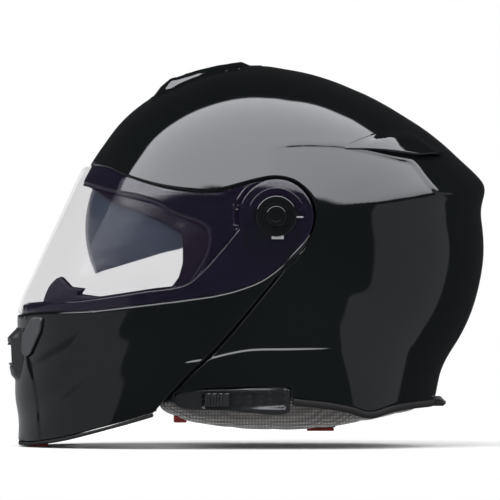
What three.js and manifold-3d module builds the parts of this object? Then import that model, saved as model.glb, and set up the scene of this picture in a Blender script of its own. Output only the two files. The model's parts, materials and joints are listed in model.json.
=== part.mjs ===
// Full-face flip-front motorcycle helmet.
// Millimetres, +Z up, the face looks along -X, the wearer's left side is -Y.
// The origin is under the middle of the helmet, on the surface it stands on.
import * as THREE from 'three';
import { mergeVertices } from 'three/addons/utils/BufferGeometryUtils.js';
import Module from 'manifold-3d';

const wasm = await Module();
wasm.setup();
const { Manifold, Mesh } = wasm;

// ---------------------------------------------------------------- driving dimensions
const CENTRE = [22, 165];        // centre of the dome section, x and z
const PIVOT = [22, 169.5];       // axis of the chin bar and of the shield, along Y
const POW_T = 2.2, POW_Y = 2.05; // fullness of the dome along its radius and across its width
const SHELL_HALF_WIDTH = 126.8;
const CHIN_HALF_WIDTH = 128.6;
const SHIELD_HALF_WIDTH = 130.5;
const ARM_ZONE_HALF_WIDTH = 121; // shell surface under the chin bar's arms
const SHELL_WALL = 5;
const SHIELD_WALL = 2.2;
const POCKET_RADIUS = 28.4, POCKET_FLOOR = 118; // round pocket for the pivot, on each side
const ARM_DISC_RADIUS = 26.8, ARM_DISC = [121.2, 124.2];
const EAR_RADIUS = 27.3, EAR = [126.4, 128.6];
const BOLT_RADIUS = 5, BOLT_HOLE_RADIUS = 5.6;
const SUN_AXIS = [-37.7, 161.3]; // axis of the sun visor, along Y
const SUN_RADIUS = 81.2, SUN_HALF_WIDTH = 95.4, SUN_WALL = 2;
const CAVITY = { x: 27.4, z: 158, a: 108.5, b: 88.5, c: 90, taper: 0.9 };
const GAP = 0.4;

// ---------------------------------------------------------------- outlines in the side plane, x and z
const SILHOUETTE_UPPER = [[138.4, 28.9], [142.1, 47.4], [143.6, 54.8], [151, 69.6], [158.4, 81.4], [165.8, 96.9],
  [173.2, 122.8], [176.1, 145], [173.8, 174.6], [176.9, 191.7], [169.5, 201.3], [158.4, 211.6], [147.3, 222],
  [132.5, 233.8], [114, 245.7], [91.8, 258.3], [73.3, 266.4], [54.8, 273.1], [32.6, 278.2], [12.6, 281.2],
  [-0.7, 281], [-34, 274.5], [-52.5, 267.4], [-68.1, 258.9], [-93.2, 238.5], [-104.3, 224]];
const SILHOUETTE_LOWER = [[-155, -70], [-110, -105], [0, -115], [80, -100], [120, -60], [133, 0]];
const FRONT_SHELL = [[-113.2, 211], [-121.2, 196], [-125, 188], [-133, 168], [-144, 140], [-153, 110], [-160, 70], [-163, 30], [-163, -15]];
const FRONT_SHIELD = [[-120.1, 206.9], [-131.7, 182.8], [-143.6, 157.6], [-156.9, 128.8], [-169, 98.4], [-169.2, 92],
  [-168.7, 80], [-169, 60], [-170.2, 45], [-169.6, 32.3], [-167.6, 22.9], [-167.4, 13.3], [-168, 4], [-166, -20]];
const SEAM = [[-113.2, 207.9], [-101.4, 205.7], [-90.7, 200.5], [-64.4, 192.1], [-39.2, 188], [-22.9, 187.2], [-4.4, 192],
  [7.4, 195.4], [21.5, 197.9], [34.5, 195.4], [43.7, 188.3], [49.2, 179.8], [50.7, 170.2], [48.2, 158.4], [42, 146.3],
  [33.3, 138], [25.9, 128.2], [-17.8, 75.6], [-28.9, 64.5], [-41.4, 52.7], [-65.9, 25.3], [-78.4, 10.4]];
const EYEPORT = [[-125.8, 196.1], [-115.4, 193.9], [-98.4, 189.4], [-66.6, 181.3], [-52.9, 173.9], [-31.1, 165.4],
  [-25.9, 160.6], [-25.2, 147.3], [-29.6, 135.4], [-35.5, 125.8], [-45.9, 107.3], [-61.4, 67.3], [-74, 34], [-76.2, 28.9]];
const SHELL_BOTTOM = [[-65.9, 31.1], [-50.3, 34], [-13.3, 34], [30.3, 37.7], [40, 36.6], [62.2, 34], [77, 31.1],
  [90.3, 27.4], [106.6, 31.4], [121.4, 33.7], [139.9, 34.8]];
const CHIN_TOP = [[-189.4, 102.9], [-168, 104.3], [-148.7, 105.8], [-119.9, 108], [-103.2, 110.3], [-74.7, 114.7],
  [-43.7, 119.9], [-31.8, 129.1], [-15.5, 147.3], [-4.4, 161]];
const CHIN_SEAM = [[41, 149.5], [32.2, 139.9], [24.8, 129.5], [-19.2, 77], [-30.3, 65.9], [-42.9, 54], [-67.3, 26.6]];
const CHIN_BOTTOM = [[-88.1, 20.3], [-114.7, 13.3], [-142.1, 6.7], [-168, 3.7], [-189.4, 3]];
const SHIELD_TOP = [[-137.6, 208.7], [-120.1, 206.9], [-113.2, 207.2], [-101.4, 205], [-90.7, 199.8], [-64.4, 191.4],
  [-39.2, 187.2], [-22.9, 186.5], [-4.4, 191.3], [7.4, 194.6]];
const SHIELD_BOTTOM = [[47, 158.4], [41.1, 146.9], [27.4, 135.4], [11.1, 123.6], [-5.9, 116.9], [-20.7, 113.2],
  [-48.1, 109.2], [-81.4, 105.1], [-114.7, 101.4], [-148.7, 99.9], [-168, 98], [-189.4, 96.9]];
const LINER_FRONT = [[-128, 196], [-114.3, 190.5], [-98.4, 180], [-75, 171.5], [-47.1, 156.8], [-46.1, 147.3],
  [-46.1, 135.4], [-49.1, 125.1], [-56.5, 115.4], [-63, 71], [-62, 48.5]];
const BROW_VENT = [[-71, 250.1], [-68.8, 258.3], [-55.7, 272.3], [-51.1, 272.9], [-36.3, 278.2], [-20.7, 281.9],
  [-3.4, 284.5], [-0.1, 282.7], [11.8, 276.8], [11.8, 240], [-60, 240]];
const REAR_WING = [[71.8, 221.3], [76.7, 229.4], [88.1, 229.4], [92.5, 232], [104.3, 234.6], [113.2, 235.5],
  [123.6, 234.8], [130.2, 229.4], [147.3, 218.3], [143.6, 216.8], [125.1, 215.3], [108, 217.6], [90.3, 220.5]];
const TRIM_PLATE = [[-158.4, 95.2], [-150.2, 95.2], [-151.7, 85.1], [-159.4, 68.1], [-163.2, 66.2], [-165.8, 70.3], [-165, 82.9]];

// ---------------------------------------------------------------- materials
const MAT = {
  gloss_black: [0x070a0b, 0.06, 0.0], satin_black: [0x15181a, 0.38, 0.0], matte_black: [0x1c1e20, 0.7, 0.0],
  rubber: [0x141516, 0.8, 0.0], eps: [0x2c2d2f, 0.92, 0.0], fabric: [0x222326, 0.95, 0.0], webbing: [0x161719, 0.9, 0.0],
  red: [0xa2302a, 0.5, 0.0], steel: [0x8f9296, 0.3, 1.0], clear: [0xdcd7e6, 0.04, 0.0], smoke: [0x65707f, 0.06, 0.0],
  grey: [0x34373a, 0.6, 0.0],
};
const material = (key) => new THREE.MeshStandardMaterial({ color: MAT[key][0], roughness: MAT[key][1], metalness: MAT[key][2],
  side: THREE.FrontSide, transparent: key === 'clear' || key === 'smoke', opacity: key === 'clear' ? 0.25 : key === 'smoke' ? 0.6 : 1 });

// ---------------------------------------------------------------- solids
function solid(geometry) {
  const g = geometry.clone();
  g.deleteAttribute('normal');
  g.deleteAttribute('uv');
  const m = mergeVertices(g, 1e-4);
  return new Manifold(new Mesh({ numProp: 3, vertProperties: new Float32Array(m.attributes.position.array),
    triVerts: new Uint32Array(m.index.array) }));
}
function box(x0, x1, y0, y1, z0, z1) {
  const g = new THREE.BoxGeometry(x1 - x0, y1 - y0, z1 - z0);
  g.translate((x0 + x1) / 2, (y0 + y1) / 2, (z0 + z1) / 2);
  return solid(g);
}
// an outline in the side plane, carried from y0 to y1
function prism(outline, y0 = -200, y1 = 200) {
  const shape = new THREE.Shape(outline.map(([x, z]) => new THREE.Vector2(x, z)));
  const g = new THREE.ExtrudeGeometry(shape, { depth: y1 - y0, bevelEnabled: false, steps: 1, curveSegments: 1 });
  g.rotateX(Math.PI / 2);
  g.translate(0, y1, 0);
  return solid(g);
}
// an outline in the y and z plane, carried from x0 to x1
function prismX(outline, x0, x1) {
  const shape = new THREE.Shape(outline.map(([y, z]) => new THREE.Vector2(y, z)));
  const g = new THREE.ExtrudeGeometry(shape, { depth: x1 - x0, bevelEnabled: false, steps: 1, curveSegments: 1 });
  g.applyMatrix4(new THREE.Matrix4().set(0, 0, 1, x0, 1, 0, 0, 0, 0, 1, 0, 0, 0, 0, 0, 1));
  return solid(g);
}
// a cylinder along Y about a point of the side plane
function rod([x, z], r, y0, y1, n = 32) {
  const g = new THREE.CylinderGeometry(r, r, y1 - y0, n, 1);
  g.rotateY(Math.PI / n);
  g.translate(x, (y0 + y1) / 2, z);
  return solid(g);
}
const both = (make) => make(-1).add(make(1));
const rods = (c, r, y0, y1, n) => rod(c, r, y0, y1, n).add(rod(c, r, -y1, -y0, n));
const mirror = (m) => m.mirror([0, 1, 0]);
const left = (m) => m.intersect(box(-400, 400, -400, -0.5, -400, 400));

function offset(line, d) {           // moves an open line to its left-hand side by d
  return line.map((p, i) => {
    const a = line[Math.max(0, i - 1)], b = line[Math.min(line.length - 1, i + 1)];
    const dx = b[0] - a[0], dz = b[1] - a[1], l = Math.hypot(dx, dz);
    return [p[0] - (dz / l) * d, p[1] + (dx / l) * d];
  });
}
const circle = ([x, z], r, a0, a1, n) => Array.from({ length: n + 1 }, (_, i) => {
  const a = ((a0 + ((a1 - a0) * i) / n) * Math.PI) / 180;
  return [x + r * Math.cos(a), z + r * Math.sin(a)];
});

// radius of a closed silhouette about CENTRE as a smooth function of direction
function polarCurve(points) {
  const k = points.map(([x, z]) => {
    let a = Math.atan2(z - CENTRE[1], x - CENTRE[0]);
    if (a < 0) a += 2 * Math.PI;
    return [a, Math.hypot(x - CENTRE[0], z - CENTRE[1])];
  }).sort((p, q) => p[0] - q[0]);
  const n = k.length, A = (i) => k[((i % n) + n) % n][0] + 2 * Math.PI * Math.floor(i / n), R = (i) => k[((i % n) + n) % n][1];
  const slope = (i) => (R(i + 1) - R(i)) / (A(i + 1) - A(i));
  const tangent = (i) => {
    const s0 = slope(i - 1), s1 = slope(i);
    if (s0 * s1 <= 0) return 0;
    const h0 = A(i) - A(i - 1), h1 = A(i + 1) - A(i), w1 = 2 * h1 + h0, w2 = h1 + 2 * h0;
    return (w1 + w2) / (w1 / s0 + w2 / s1);
  };
  return (a) => {
    let i = 0;
    const lo = A(0);
    let x = a;
    while (x < lo) x += 2 * Math.PI;
    while (x >= lo + 2 * Math.PI) x -= 2 * Math.PI;
    while (i < n - 1 && A(i + 1) <= x) i++;
    const h = A(i + 1) - A(i), t = (x - A(i)) / h, t2 = t * t, t3 = t2 * t;
    return (2 * t3 - 3 * t2 + 1) * R(i) + (t3 - 2 * t2 + t) * h * tangent(i) + (-2 * t3 + 3 * t2) * R(i + 1) + (t3 - t2) * h * tangent(i + 1);
  };
}
const SHELL_CURVE = polarCurve([...SILHOUETTE_UPPER, ...FRONT_SHELL, ...SILHOUETTE_LOWER]);
const SHIELD_CURVE = polarCurve([...SILHOUETTE_UPPER.slice(0, -1), ...FRONT_SHIELD, ...SILHOUETTE_LOWER]);
const CORNER = Math.atan2(191.7 - CENTRE[1], 176.9 - CENTRE[0]);
const N_ROUND = 36, N_ACROSS = 12;

// the full dome: silhouette radius less dr, half-width w
const domes = new Map();
function dome(curve, dr, w) {
  const key = (curve === SHELL_CURVE ? 's' : 'v') + dr + '_' + w;
  if (domes.has(key)) return domes.get(key);
  const pos = [], idx = [];
  pos.push(CENTRE[0], -w, CENTRE[1]);
  for (let j = 1; j < N_ACROSS; j++) {
    const f = -Math.PI / 2 + (Math.PI * j) / N_ACROSS;
    const t = Math.pow(Math.cos(f), 2 / POW_T), s = Math.sin(f), y = Math.abs(f) < 1e-9 ? 0 : Math.sign(s) * w * Math.pow(Math.abs(s), 2 / POW_Y);
    for (let i = 0; i < N_ROUND; i++) {
      const a = CORNER + (2 * Math.PI * i) / N_ROUND, r = (curve(a) - dr) * t;
      pos.push(CENTRE[0] + r * Math.cos(a), y, CENTRE[1] + r * Math.sin(a));
    }
  }
  const last = pos.length / 3;
  pos.push(CENTRE[0], w, CENTRE[1]);
  const v = (j, i) => 1 + (j - 1) * N_ROUND + (i % N_ROUND);
  for (let i = 0; i < N_ROUND; i++) {
    idx.push(0, v(1, i), v(1, i + 1));
    idx.push(last, v(N_ACROSS - 1, i + 1), v(N_ACROSS - 1, i));
    for (let j = 1; j < N_ACROSS - 1; j++) idx.push(v(j, i), v(j + 1, i), v(j + 1, i + 1), v(j, i), v(j + 1, i + 1), v(j, i + 1));
  }
  const g = new THREE.BufferGeometry();
  g.setAttribute('position', new THREE.Float32BufferAttribute(pos, 3));
  g.setIndex(idx);
  const m = solid(g);
  domes.set(key, m);
  return m;
}
const S = (dr, w) => dome(SHELL_CURVE, dr, w), V = (dr, w) => dome(SHIELD_CURVE, dr, w);

// a barrel about the sun visor's axis
function barrel(r, halfWidth, n = 36, k = 9) {
  const pts = [];
  for (let i = 0; i <= 2 * k; i++) {
    const f = -Math.PI / 2 + (Math.PI * i) / (2 * k);
    pts.push(new THREE.Vector2(i === 0 || i === 2 * k ? 0 : r * Math.pow(Math.cos(f), 2 / POW_Y), i === k ? 0 : Math.sign(f) * halfWidth * Math.pow(Math.abs(Math.sin(f)), 2 / POW_T)));
  }
  const g = new THREE.LatheGeometry(pts, n);
  g.translate(SUN_AXIS[0], 0, SUN_AXIS[1]);
  return solid(g);
}
// the head cavity, grown by d
function cavity(d, lowest = -20) {
  const g = new THREE.SphereGeometry(1, 28, 14);
  g.rotateX(Math.PI / 2);
  g.scale(CAVITY.a + d, CAVITY.b + d, CAVITY.c + d);
  g.translate(CAVITY.x, 0, CAVITY.z);
  const h = CAVITY.z - lowest;
  const c = new THREE.CylinderGeometry(1, CAVITY.taper, h, 28, 1);
  c.rotateX(Math.PI / 2);
  c.scale(CAVITY.a + d, CAVITY.b + d, 1);
  c.translate(CAVITY.x, 0, lowest + h / 2);
  return solid(g).add(solid(c));
}
const sphereTop = (a, b, c) => {
  const g = new THREE.SphereGeometry(1, 28, 14);
  g.rotateX(Math.PI / 2);
  g.scale(a, b, c);
  g.translate(CAVITY.x, 0, CAVITY.z);
  return solid(g);
};

// ---------------------------------------------------------------- the assembly
const helmet = new THREE.Group();
helmet.name = 'flip_front_helmet';
function add(name, body, key, parent = helmet, tolerance = 0.03) {
  const m = body.simplify(tolerance).getMesh();
  const g = new THREE.BufferGeometry();
  const np = m.numProp, vp = [];
  for (let i = 0; i < m.vertProperties.length / np; i++) vp.push(m.vertProperties[i * np], m.vertProperties[i * np + 1], m.vertProperties[i * np + 2]);
  g.setAttribute('position', new THREE.Float32BufferAttribute(vp, 3));
  g.setIndex(Array.from(m.triVerts));
  const mesh = new THREE.Mesh(g, material(key));
  mesh.name = name;
  parent.add(mesh);
  return mesh;
}

// regions of the side plane
const FAR = [[-230, 10.4], [-230, 207.9]];
const ARM_ZONE = prism([...SEAM, [-78.4, -50], [-230, -50], [-230, 207.9]]);
const SEAM_BACK = offset(SEAM, 5);
const ARM_ZONE_WIDE = prism([...SEAM_BACK, [-74, -50], [-230, -50], [-230, 212]]);
const SEAM_BACK_2 = offset(SEAM, 6);
const ARM_ZONE_EPS = prism([...SEAM_BACK_2, [-74, -50], [-230, -50], [-230, 213]]);

// --- outer shell
const notchOuter = [[-51.8, 40.3], [-28.9, 44.4], [-13.3, 45.1], [12.6, 45.9], [32.6, 44.8], [32.6, 10], [-51.8, 10]];
let shellOuter = S(0, SHELL_HALF_WIDTH).subtract(ARM_ZONE).add(S(1.2, ARM_ZONE_HALF_WIDTH));
let shellInner = S(SHELL_WALL, SHELL_HALF_WIDTH - SHELL_WALL).subtract(ARM_ZONE_WIDE).add(S(1.2 + SHELL_WALL - 0.3, ARM_ZONE_HALF_WIDTH - SHELL_WALL + 0.3));
let shell = shellOuter.subtract(shellInner).intersect(prism([[-230, 196.1], ...EYEPORT, ...SHELL_BOTTOM, [230, 34.8], [230, 330], [-230, 330]]));
shell = shell.subtract(rods(PIVOT, POCKET_RADIUS, POCKET_FLOOR, 200, 32));
shell = shell.add(rods(PIVOT, 31.5, 112, POCKET_FLOOR, 40));
shell = shell.subtract(rods(PIVOT, BOLT_HOLE_RADIUS, 100, 200, 24));
shell = shell.subtract(prism(notchOuter, -200, -60));
add('outer_shell', shell, 'gloss_black', helmet, 0.3);

// --- rubber seal round the eye opening
const sealLine = offset(EYEPORT.slice(0, 11), -GAP), sealFront = offset(EYEPORT.slice(0, 11), -4.2);
add('eyeport_seal', S(0.9, 121.3).subtract(S(6.4, 116)).intersect(prism([...sealLine, ...sealFront.slice().reverse()])), 'rubber');

// --- bottom edge trim
const trimTop = offset(SHELL_BOTTOM, -GAP), trimLow = offset(SHELL_BOTTOM, -6);
let trim = S(-0.9, 127.7).subtract(S(6.8, 120)).intersect(prism([...trimTop, [170, 34.4], [170, 28.8], ...trimLow.slice().reverse()]));
trim = trim.subtract(box(-200, 33, -200, 0, 0, 80)).subtract(box(-200, -60, 0, 200, 0, 80));
add('neck_edge_trim', trim, 'rubber');
add('rear_tab', box(142.6, 148, -11, 11, 29.5, 37.5), 'satin_black');

// --- impact liner
let eps = S(5.8, 120.9).subtract(ARM_ZONE_EPS).add(S(6.9, 115.3));
eps = eps.intersect(prism([...LINER_FRONT, [230, 48.5], [230, 330], [-128, 330]]));
eps = eps.subtract(cavity(0)).subtract(rods(PIVOT, 33.6, 110.6, 200, 32));
const sector = prism([SUN_AXIS, ...circle(SUN_AXIS, 150, 93, 262, 12)]);
const wedge = prism([SUN_AXIS, [SUN_AXIS[0] + 13.6, SUN_AXIS[1] + 3.5], [SUN_AXIS[0] - 10.8, SUN_AXIS[1] + 98.7]]);
eps = eps.subtract(sector.add(wedge).subtract(barrel(77.8, 91.8)));
eps = eps.subtract(rods(SUN_AXIS, 26, 91.2, 99.5, 28));
add('impact_liner', eps, 'eps', helmet, 0.5);

// --- comfort liner
const crownZone = prism([[-130, 196], [-98, 186], [-72, 178], [-42, 160], [-36, 148], [150, 148], [150, 320], [-130, 320]]);
add('crown_liner', sphereTop(CAVITY.a - 1.2, CAVITY.b - 1.2, CAVITY.c - 1.2).subtract(sphereTop(99.5, 80, 81.5)).intersect(crownZone), 'fabric', helmet, 0.5);
const padZone = [[-60, 96], [-50, 116], [-44, 130], [8, 141], [36, 134], [40, 118], [40, 60], [30, 45], [-54, 45], [-62, 60]];
const padInner = new THREE.CylinderGeometry(1, 0.94, 220, 36, 1);
padInner.rotateX(Math.PI / 2);
padInner.scale(97, 62, 1);
padInner.translate(CAVITY.x, 0, 90);
const pad = cavity(-0.7).subtract(solid(padInner)).intersect(prism(padZone, -200, -5));
add('cheek_pad_l', pad, 'fabric');
add('cheek_pad_r', mirror(pad), 'fabric');
const tab = box(-53, -43.5, -58, -56, 18.6, 44.4);
add('pull_tab_l', tab, 'red');
add('pull_tab_r', mirror(tab), 'red');
add('neck_roll', S(11, 114.2).subtract(S(36, 88)).intersect(prism([[-64, 29], [-41.4, 20], [-4.4, 15], [32.6, 14], [62, 16.3],
  [91.8, 21.5], [122, 27], [150, 30], [150, 43.5], [-60, 43.5]])), 'fabric');

// --- pivot of the chin bar and the shield, each side
const plate = rod(PIVOT, 25.6, -120.8, -118.4, 36).subtract(rod(PIVOT, BOLT_HOLE_RADIUS, -130, -110, 24));
add('pivot_base_plate_l', plate, 'satin_black');
add('pivot_base_plate_r', mirror(plate), 'satin_black');
const bolt = rod(PIVOT, BOLT_RADIUS, -130, -112, 24).add(rod(PIVOT, 7.4, -131, -129.8, 24))
  .subtract(box(PIVOT[0] - 5, PIVOT[0] + 5, -132, -130.3, PIVOT[1] - 0.7, PIVOT[1] + 0.7));
add('pivot_bolt_l', bolt, 'satin_black');
add('pivot_bolt_r', mirror(bolt), 'satin_black');

// --- chin bar and what it carries
const chin = new THREE.Group();
chin.name = 'chin_bar_assembly';
helmet.add(chin);
const shieldOutline = [...SHIELD_TOP, ...circle(PIVOT, EAR_RADIUS, 112, -24, 14), ...SHIELD_BOTTOM, [-230, 96], [-230, 208.7]];
const shieldBottomLow = offset(SHIELD_BOTTOM, 0.8), shieldBottomLower = offset(SHIELD_BOTTOM, 5);
const underShield = prism([[-230, 230], [60, 230], [60, 170], ...shieldBottomLow, [-230, 96]]);
const underShieldWide = prism([[-230, 230], [70, 230], [70, 165], ...shieldBottomLower, [-230, 91.9]]);
let chinOuter = V(0, CHIN_HALF_WIDTH).subtract(underShield).add(V(3.4, 127.1));
let chinInner = V(4.5, 125).subtract(underShieldWide).add(V(7.9, 122.3));
const chinOutline = [...CHIN_TOP, ...circle(PIVOT, 27, 165, -40, 18), ...CHIN_SEAM, ...CHIN_BOTTOM];
let bar = chinOuter.subtract(chinInner).intersect(prism(chinOutline));
bar = bar.subtract(rods(PIVOT, 28.2, ARM_DISC[1], 200, 32)).subtract(rods(PIVOT, 29, 60, ARM_DISC[0], 32));
bar = bar.subtract(rods(PIVOT, 39, 60, 123.5, 32)).subtract(rods(PIVOT, 47, 60, 122.2, 32));
bar = bar.add(rods(PIVOT, ARM_DISC_RADIUS, ARM_DISC[0], ARM_DISC[1], 32));
bar = bar.subtract(rods(PIVOT, BOLT_HOLE_RADIUS, 100, 200, 24));
bar = bar.subtract(box(-200, -140, -25, 25, 59, 77));
add('chin_bar', bar, 'gloss_black', chin, 0.2);

const rimTop = offset(CHIN_BOTTOM, GAP), rimLow = offset(CHIN_BOTTOM, 2.9);
add('chin_edge_trim', V(0.6, 127.8).subtract(V(6, 122.8)).intersect(prism([...rimTop, ...rimLow.slice().reverse()])), 'rubber', chin);
let chinEps = V(5.4, 124).subtract(V(27, 101)).intersect(prism([[-230, 20], [-112, 24], [-105, 40], [-105, 70], [-94, 88], [-110, 93], [-230, 92]]));
chinEps = chinEps.subtract(box(-220, -100, -24, 24, 60.5, 75.5));
add('chin_impact_liner', chinEps, 'eps', chin);

let scoop = prism([[-167.2, 88], [-176.9, 80.4], [-176.9, 76], [-176.3, 62.5], [-174.9, 52.5], [-172.8, 50], [-160, 47], [-158, 88]], -34, 34)
  .intersect(V(-9.6, 139)).subtract(V(-0.4, 129)).subtract(box(-200, -150, -23, 23, 61.5, 75));
add('chin_vent_scoop', scoop, 'satin_black', chin);
add('chin_vent_flap', box(-171.4, -169.4, -22.3, 22.3, 62.2, 74.3), 'matte_black', chin);
const trimPlate = left(V(-2.3, 131).subtract(V(-0.4, 129)).intersect(prism(TRIM_PLATE))).subtract(box(-300, 0, -34.5, 0, 0, 200));
add('chin_trim_plate_l', trimPlate, 'grey', chin);
add('chin_trim_plate_r', mirror(trimPlate), 'grey', chin);
add('breath_deflector', V(19.5, 100).subtract(V(21.7, 97.8)).intersect(prism([[-160, 95], [-160, 124], [-138.4, 125], [-127.3, 117.5],
  [-120.6, 115.1], [-105, 110], [-95, 98], [-95, 95]])), 'rubber', chin);
add('chin_curtain', V(8, 119).subtract(V(46, 84)).intersect(prism([[-230, 14], [-230, 16], [-126, 19], [-126, 17]])), 'fabric', chin);
add('release_button', box(-160, -146.5, -11, 11, 0, 2.9).add(box(-157, -151, -8, 8, 2.5, 12)), 'red', chin);
const hub = rod(PIVOT, 14.8, -129.4, -124.6, 32).subtract(rod(PIVOT, BOLT_HOLE_RADIUS, -140, -110, 24));
add('shield_hub_l', hub, 'satin_black', chin);
add('shield_hub_r', mirror(hub), 'satin_black', chin);
const lever = rod(PIVOT, 20.7, -126, -124.6, 36).subtract(rod(PIVOT, 16.2, -140, -110, 36))
  .subtract(prism([PIVOT, [PIVOT[0] + 34, PIVOT[1] + 8], [PIVOT[0] + 30, PIVOT[1] - 22]]))
  .add(box(PIVOT[0] - 5, PIVOT[0] + 5, -126, -124.6, PIVOT[1] - 25, PIVOT[1] - 19.5).subtract(rod(PIVOT, 16.2, -140, -110, 36)));
add('shield_release_lever_l', lever, 'satin_black', chin);
add('shield_release_lever_r', mirror(lever), 'satin_black', chin);

// --- latch: a pin on the shell and a catch on the chin bar, each side
const PIN = [-79, 50];
const pinPart = box(-88, -67.5, -97.4, -94.6, 42, 59).add(rod(PIN, 3.5, -101.6, -97, 20));
add('strike_pin_l', pinPart, 'steel');
add('strike_pin_r', mirror(pinPart), 'steel');
const mouth = prism([[PIN[0] - 3, PIN[1] - 3.4], [PIN[0] + 14, PIN[1] - 20], [PIN[0] + 21, PIN[1] - 13], [PIN[0] + 3.4, PIN[1] + 3.2]]);
const catchPart = rod(PIN, 8, -101.2, -98.3, 28).add(prism([[-87, 50], [-79, 55], [-77, 68], [-85, 68]], -101.2, -98.3))
  .subtract(rod(PIN, 4.6, -110, -90, 24)).subtract(mouth);
add('latch_catch_l', catchPart, 'steel', chin);
add('latch_catch_r', mirror(catchPart), 'steel', chin);

// --- clear shield
const visor = new THREE.Group();
visor.name = 'shield_assembly';
chin.add(visor);
let shield = V(0, SHIELD_HALF_WIDTH).subtract(V(SHIELD_WALL, SHIELD_HALF_WIDTH - SHIELD_WALL)).intersect(prism(shieldOutline));
shield = shield.subtract(rods(PIVOT, 27.9, EAR[1], 200, 32)).subtract(rods(PIVOT, 27.9, 60, EAR[0], 32));
shield = shield.add(rods(PIVOT, EAR_RADIUS, EAR[0], EAR[1], 32)).subtract(rods(PIVOT, 15.4, 100, 200, 32));
add('shield', shield, 'clear', visor, 0.2);

// --- sun visor
const sunOutline = [...circle(SUN_AXIS, 13, 80, -60, 6), [-46.2, 150], [-47.1, 147], [-80, 137.5], [-97, 130.5], [-111.6, 126], [-122, 118],
  [-140, 140], [-140, 200], [-121, 231]];
let sun = barrel(SUN_RADIUS, SUN_HALF_WIDTH).subtract(barrel(SUN_RADIUS - SUN_WALL, SUN_HALF_WIDTH - SUN_WALL)).intersect(prism(sunOutline));
sun = sun.subtract(rods(SUN_AXIS, 3.5, 60, 200, 20));
add('sun_visor', sun, 'smoke', helmet, 0.25);
const screw = rod(SUN_AXIS, 3, -97, -91.5, 20).add(rod(SUN_AXIS, 6.5, -98.6, -96.6, 20));
add('sun_visor_screw_l', screw, 'steel');
add('sun_visor_screw_r', mirror(screw), 'steel');

// --- sun visor slider on the left lower edge
const trackOutline = [[-51.3, 39.8], [-28.9, 43.9], [-13.3, 44.6], [12.6, 45.4], [32.1, 44.3], [32.1, 26.5], [-13, 27.5], [-51.3, 31.5]];
let track = S(1.2, 125.4).subtract(S(9.4, 117.2)).intersect(prism(trackOutline, -200, -60));
track = track.subtract(box(-31, 29, -130, -110.6, 30.4, 41.6));
add('slider_track', track, 'satin_black');
let knob = box(-30, -12, -114.6, -110.9, 30.9, 41.1);
for (let i = 0; i < 4; i++) knob = knob.add(box(-28.6 + i * 4.4, -26.4 + i * 4.4, -115.8, -114.2, 31.6, 40.4));
add('slider_knob', knob, 'satin_black');

// --- brow vent
let vent = prism(BROW_VENT, -30, 30).intersect(S(-11, 139)).subtract(S(-0.4, 127.2));
vent = vent.subtract(prism([[-49, 270.2], [-13.5, 279.9], [-13.5, 300], [-49, 300]], -9.6, 9.6));
add('brow_vent_base', vent, 'gloss_black');
add('brow_vent_slider', prism([[-48, 270.8], [-31.5, 275.3], [-32.3, 278.4], [-45.5, 275], [-48.4, 273]], -9.1, 9.1), 'satin_black');

// --- rear exhaust covers
const wing = left(S(-4.8, 131.6).subtract(S(-0.4, 127.2)).intersect(prism(REAR_WING)));
add('rear_vent_cover_l', wing, 'gloss_black');
add('rear_vent_cover_r', mirror(wing), 'gloss_black');

// --- retention: anchors, straps, ratchet buckle
const band = (outer, t) => [...outer, ...offset(outer, t).slice().reverse()];
const strapL = prismX(band([[-78.6, 84], [-72.6, 50], [-66, 34], [-56, 26], [-40, 20.5], [-16.5, 18.9]], 2.2), 45, 65);
add('chin_strap_l', strapL, 'webbing');
const strapR = prismX(band([[-78.6, 84], [-72.6, 50], [-66, 34], [-56, 26], [-40, 20.5], [-21.5, 18.9]], 2.2), 45, 65);
add('chin_strap_r', mirror(strapR), 'webbing');
const anchor = box(46, 61, -79.6, -77.2, 84.6, 100);
add('strap_anchor_l', anchor, 'steel');
add('strap_anchor_r', mirror(anchor), 'steel');
const buckle = box(44, 66, -15.8, 8, 14, 22.4).subtract(box(46.6, 63.4, -11, 12, 17.6, 20.4));
add('buckle_body', buckle, 'steel');
add('buckle_tongue', box(47.2, 62.8, -9, 20.8, 17.95, 20.05), 'matte_black');
add('buckle_lever', box(45, 65, -14, 6, 11.4, 13.6).add(box(50, 60, 5, 12, 11.4, 13.6)), 'red');

export default helmet;
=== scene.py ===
# Looks of a flip-front motorcycle helmet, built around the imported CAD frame. Metres, +Z up, the face looks along -X.
import json
import math
import bpy
import numpy as np
from mathutils import Vector, Matrix
from mathutils.geometry import delaunay_2d_cdt


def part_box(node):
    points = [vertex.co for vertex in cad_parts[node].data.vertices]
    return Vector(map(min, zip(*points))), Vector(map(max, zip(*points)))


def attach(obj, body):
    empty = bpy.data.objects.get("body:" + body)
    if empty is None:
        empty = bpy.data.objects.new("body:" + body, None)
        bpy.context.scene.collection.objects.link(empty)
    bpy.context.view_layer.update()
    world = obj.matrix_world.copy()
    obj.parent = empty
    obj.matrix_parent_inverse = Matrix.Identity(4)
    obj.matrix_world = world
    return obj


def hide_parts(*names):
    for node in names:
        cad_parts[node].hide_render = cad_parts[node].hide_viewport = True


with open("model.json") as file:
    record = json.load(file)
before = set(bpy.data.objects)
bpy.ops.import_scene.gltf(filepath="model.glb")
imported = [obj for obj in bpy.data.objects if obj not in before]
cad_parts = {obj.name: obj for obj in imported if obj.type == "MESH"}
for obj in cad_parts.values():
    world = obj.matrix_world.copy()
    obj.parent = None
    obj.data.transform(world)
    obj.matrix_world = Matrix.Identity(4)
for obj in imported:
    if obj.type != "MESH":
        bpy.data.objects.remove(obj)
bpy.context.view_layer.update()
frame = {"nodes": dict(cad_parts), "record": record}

MM = 0.001
C = np.array([22.0, 165.0])
PIVOT = np.array([22.0, 169.5])
PT, PY = 2.2, 2.05
SUN = np.array([-37.7, 161.3])

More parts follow.
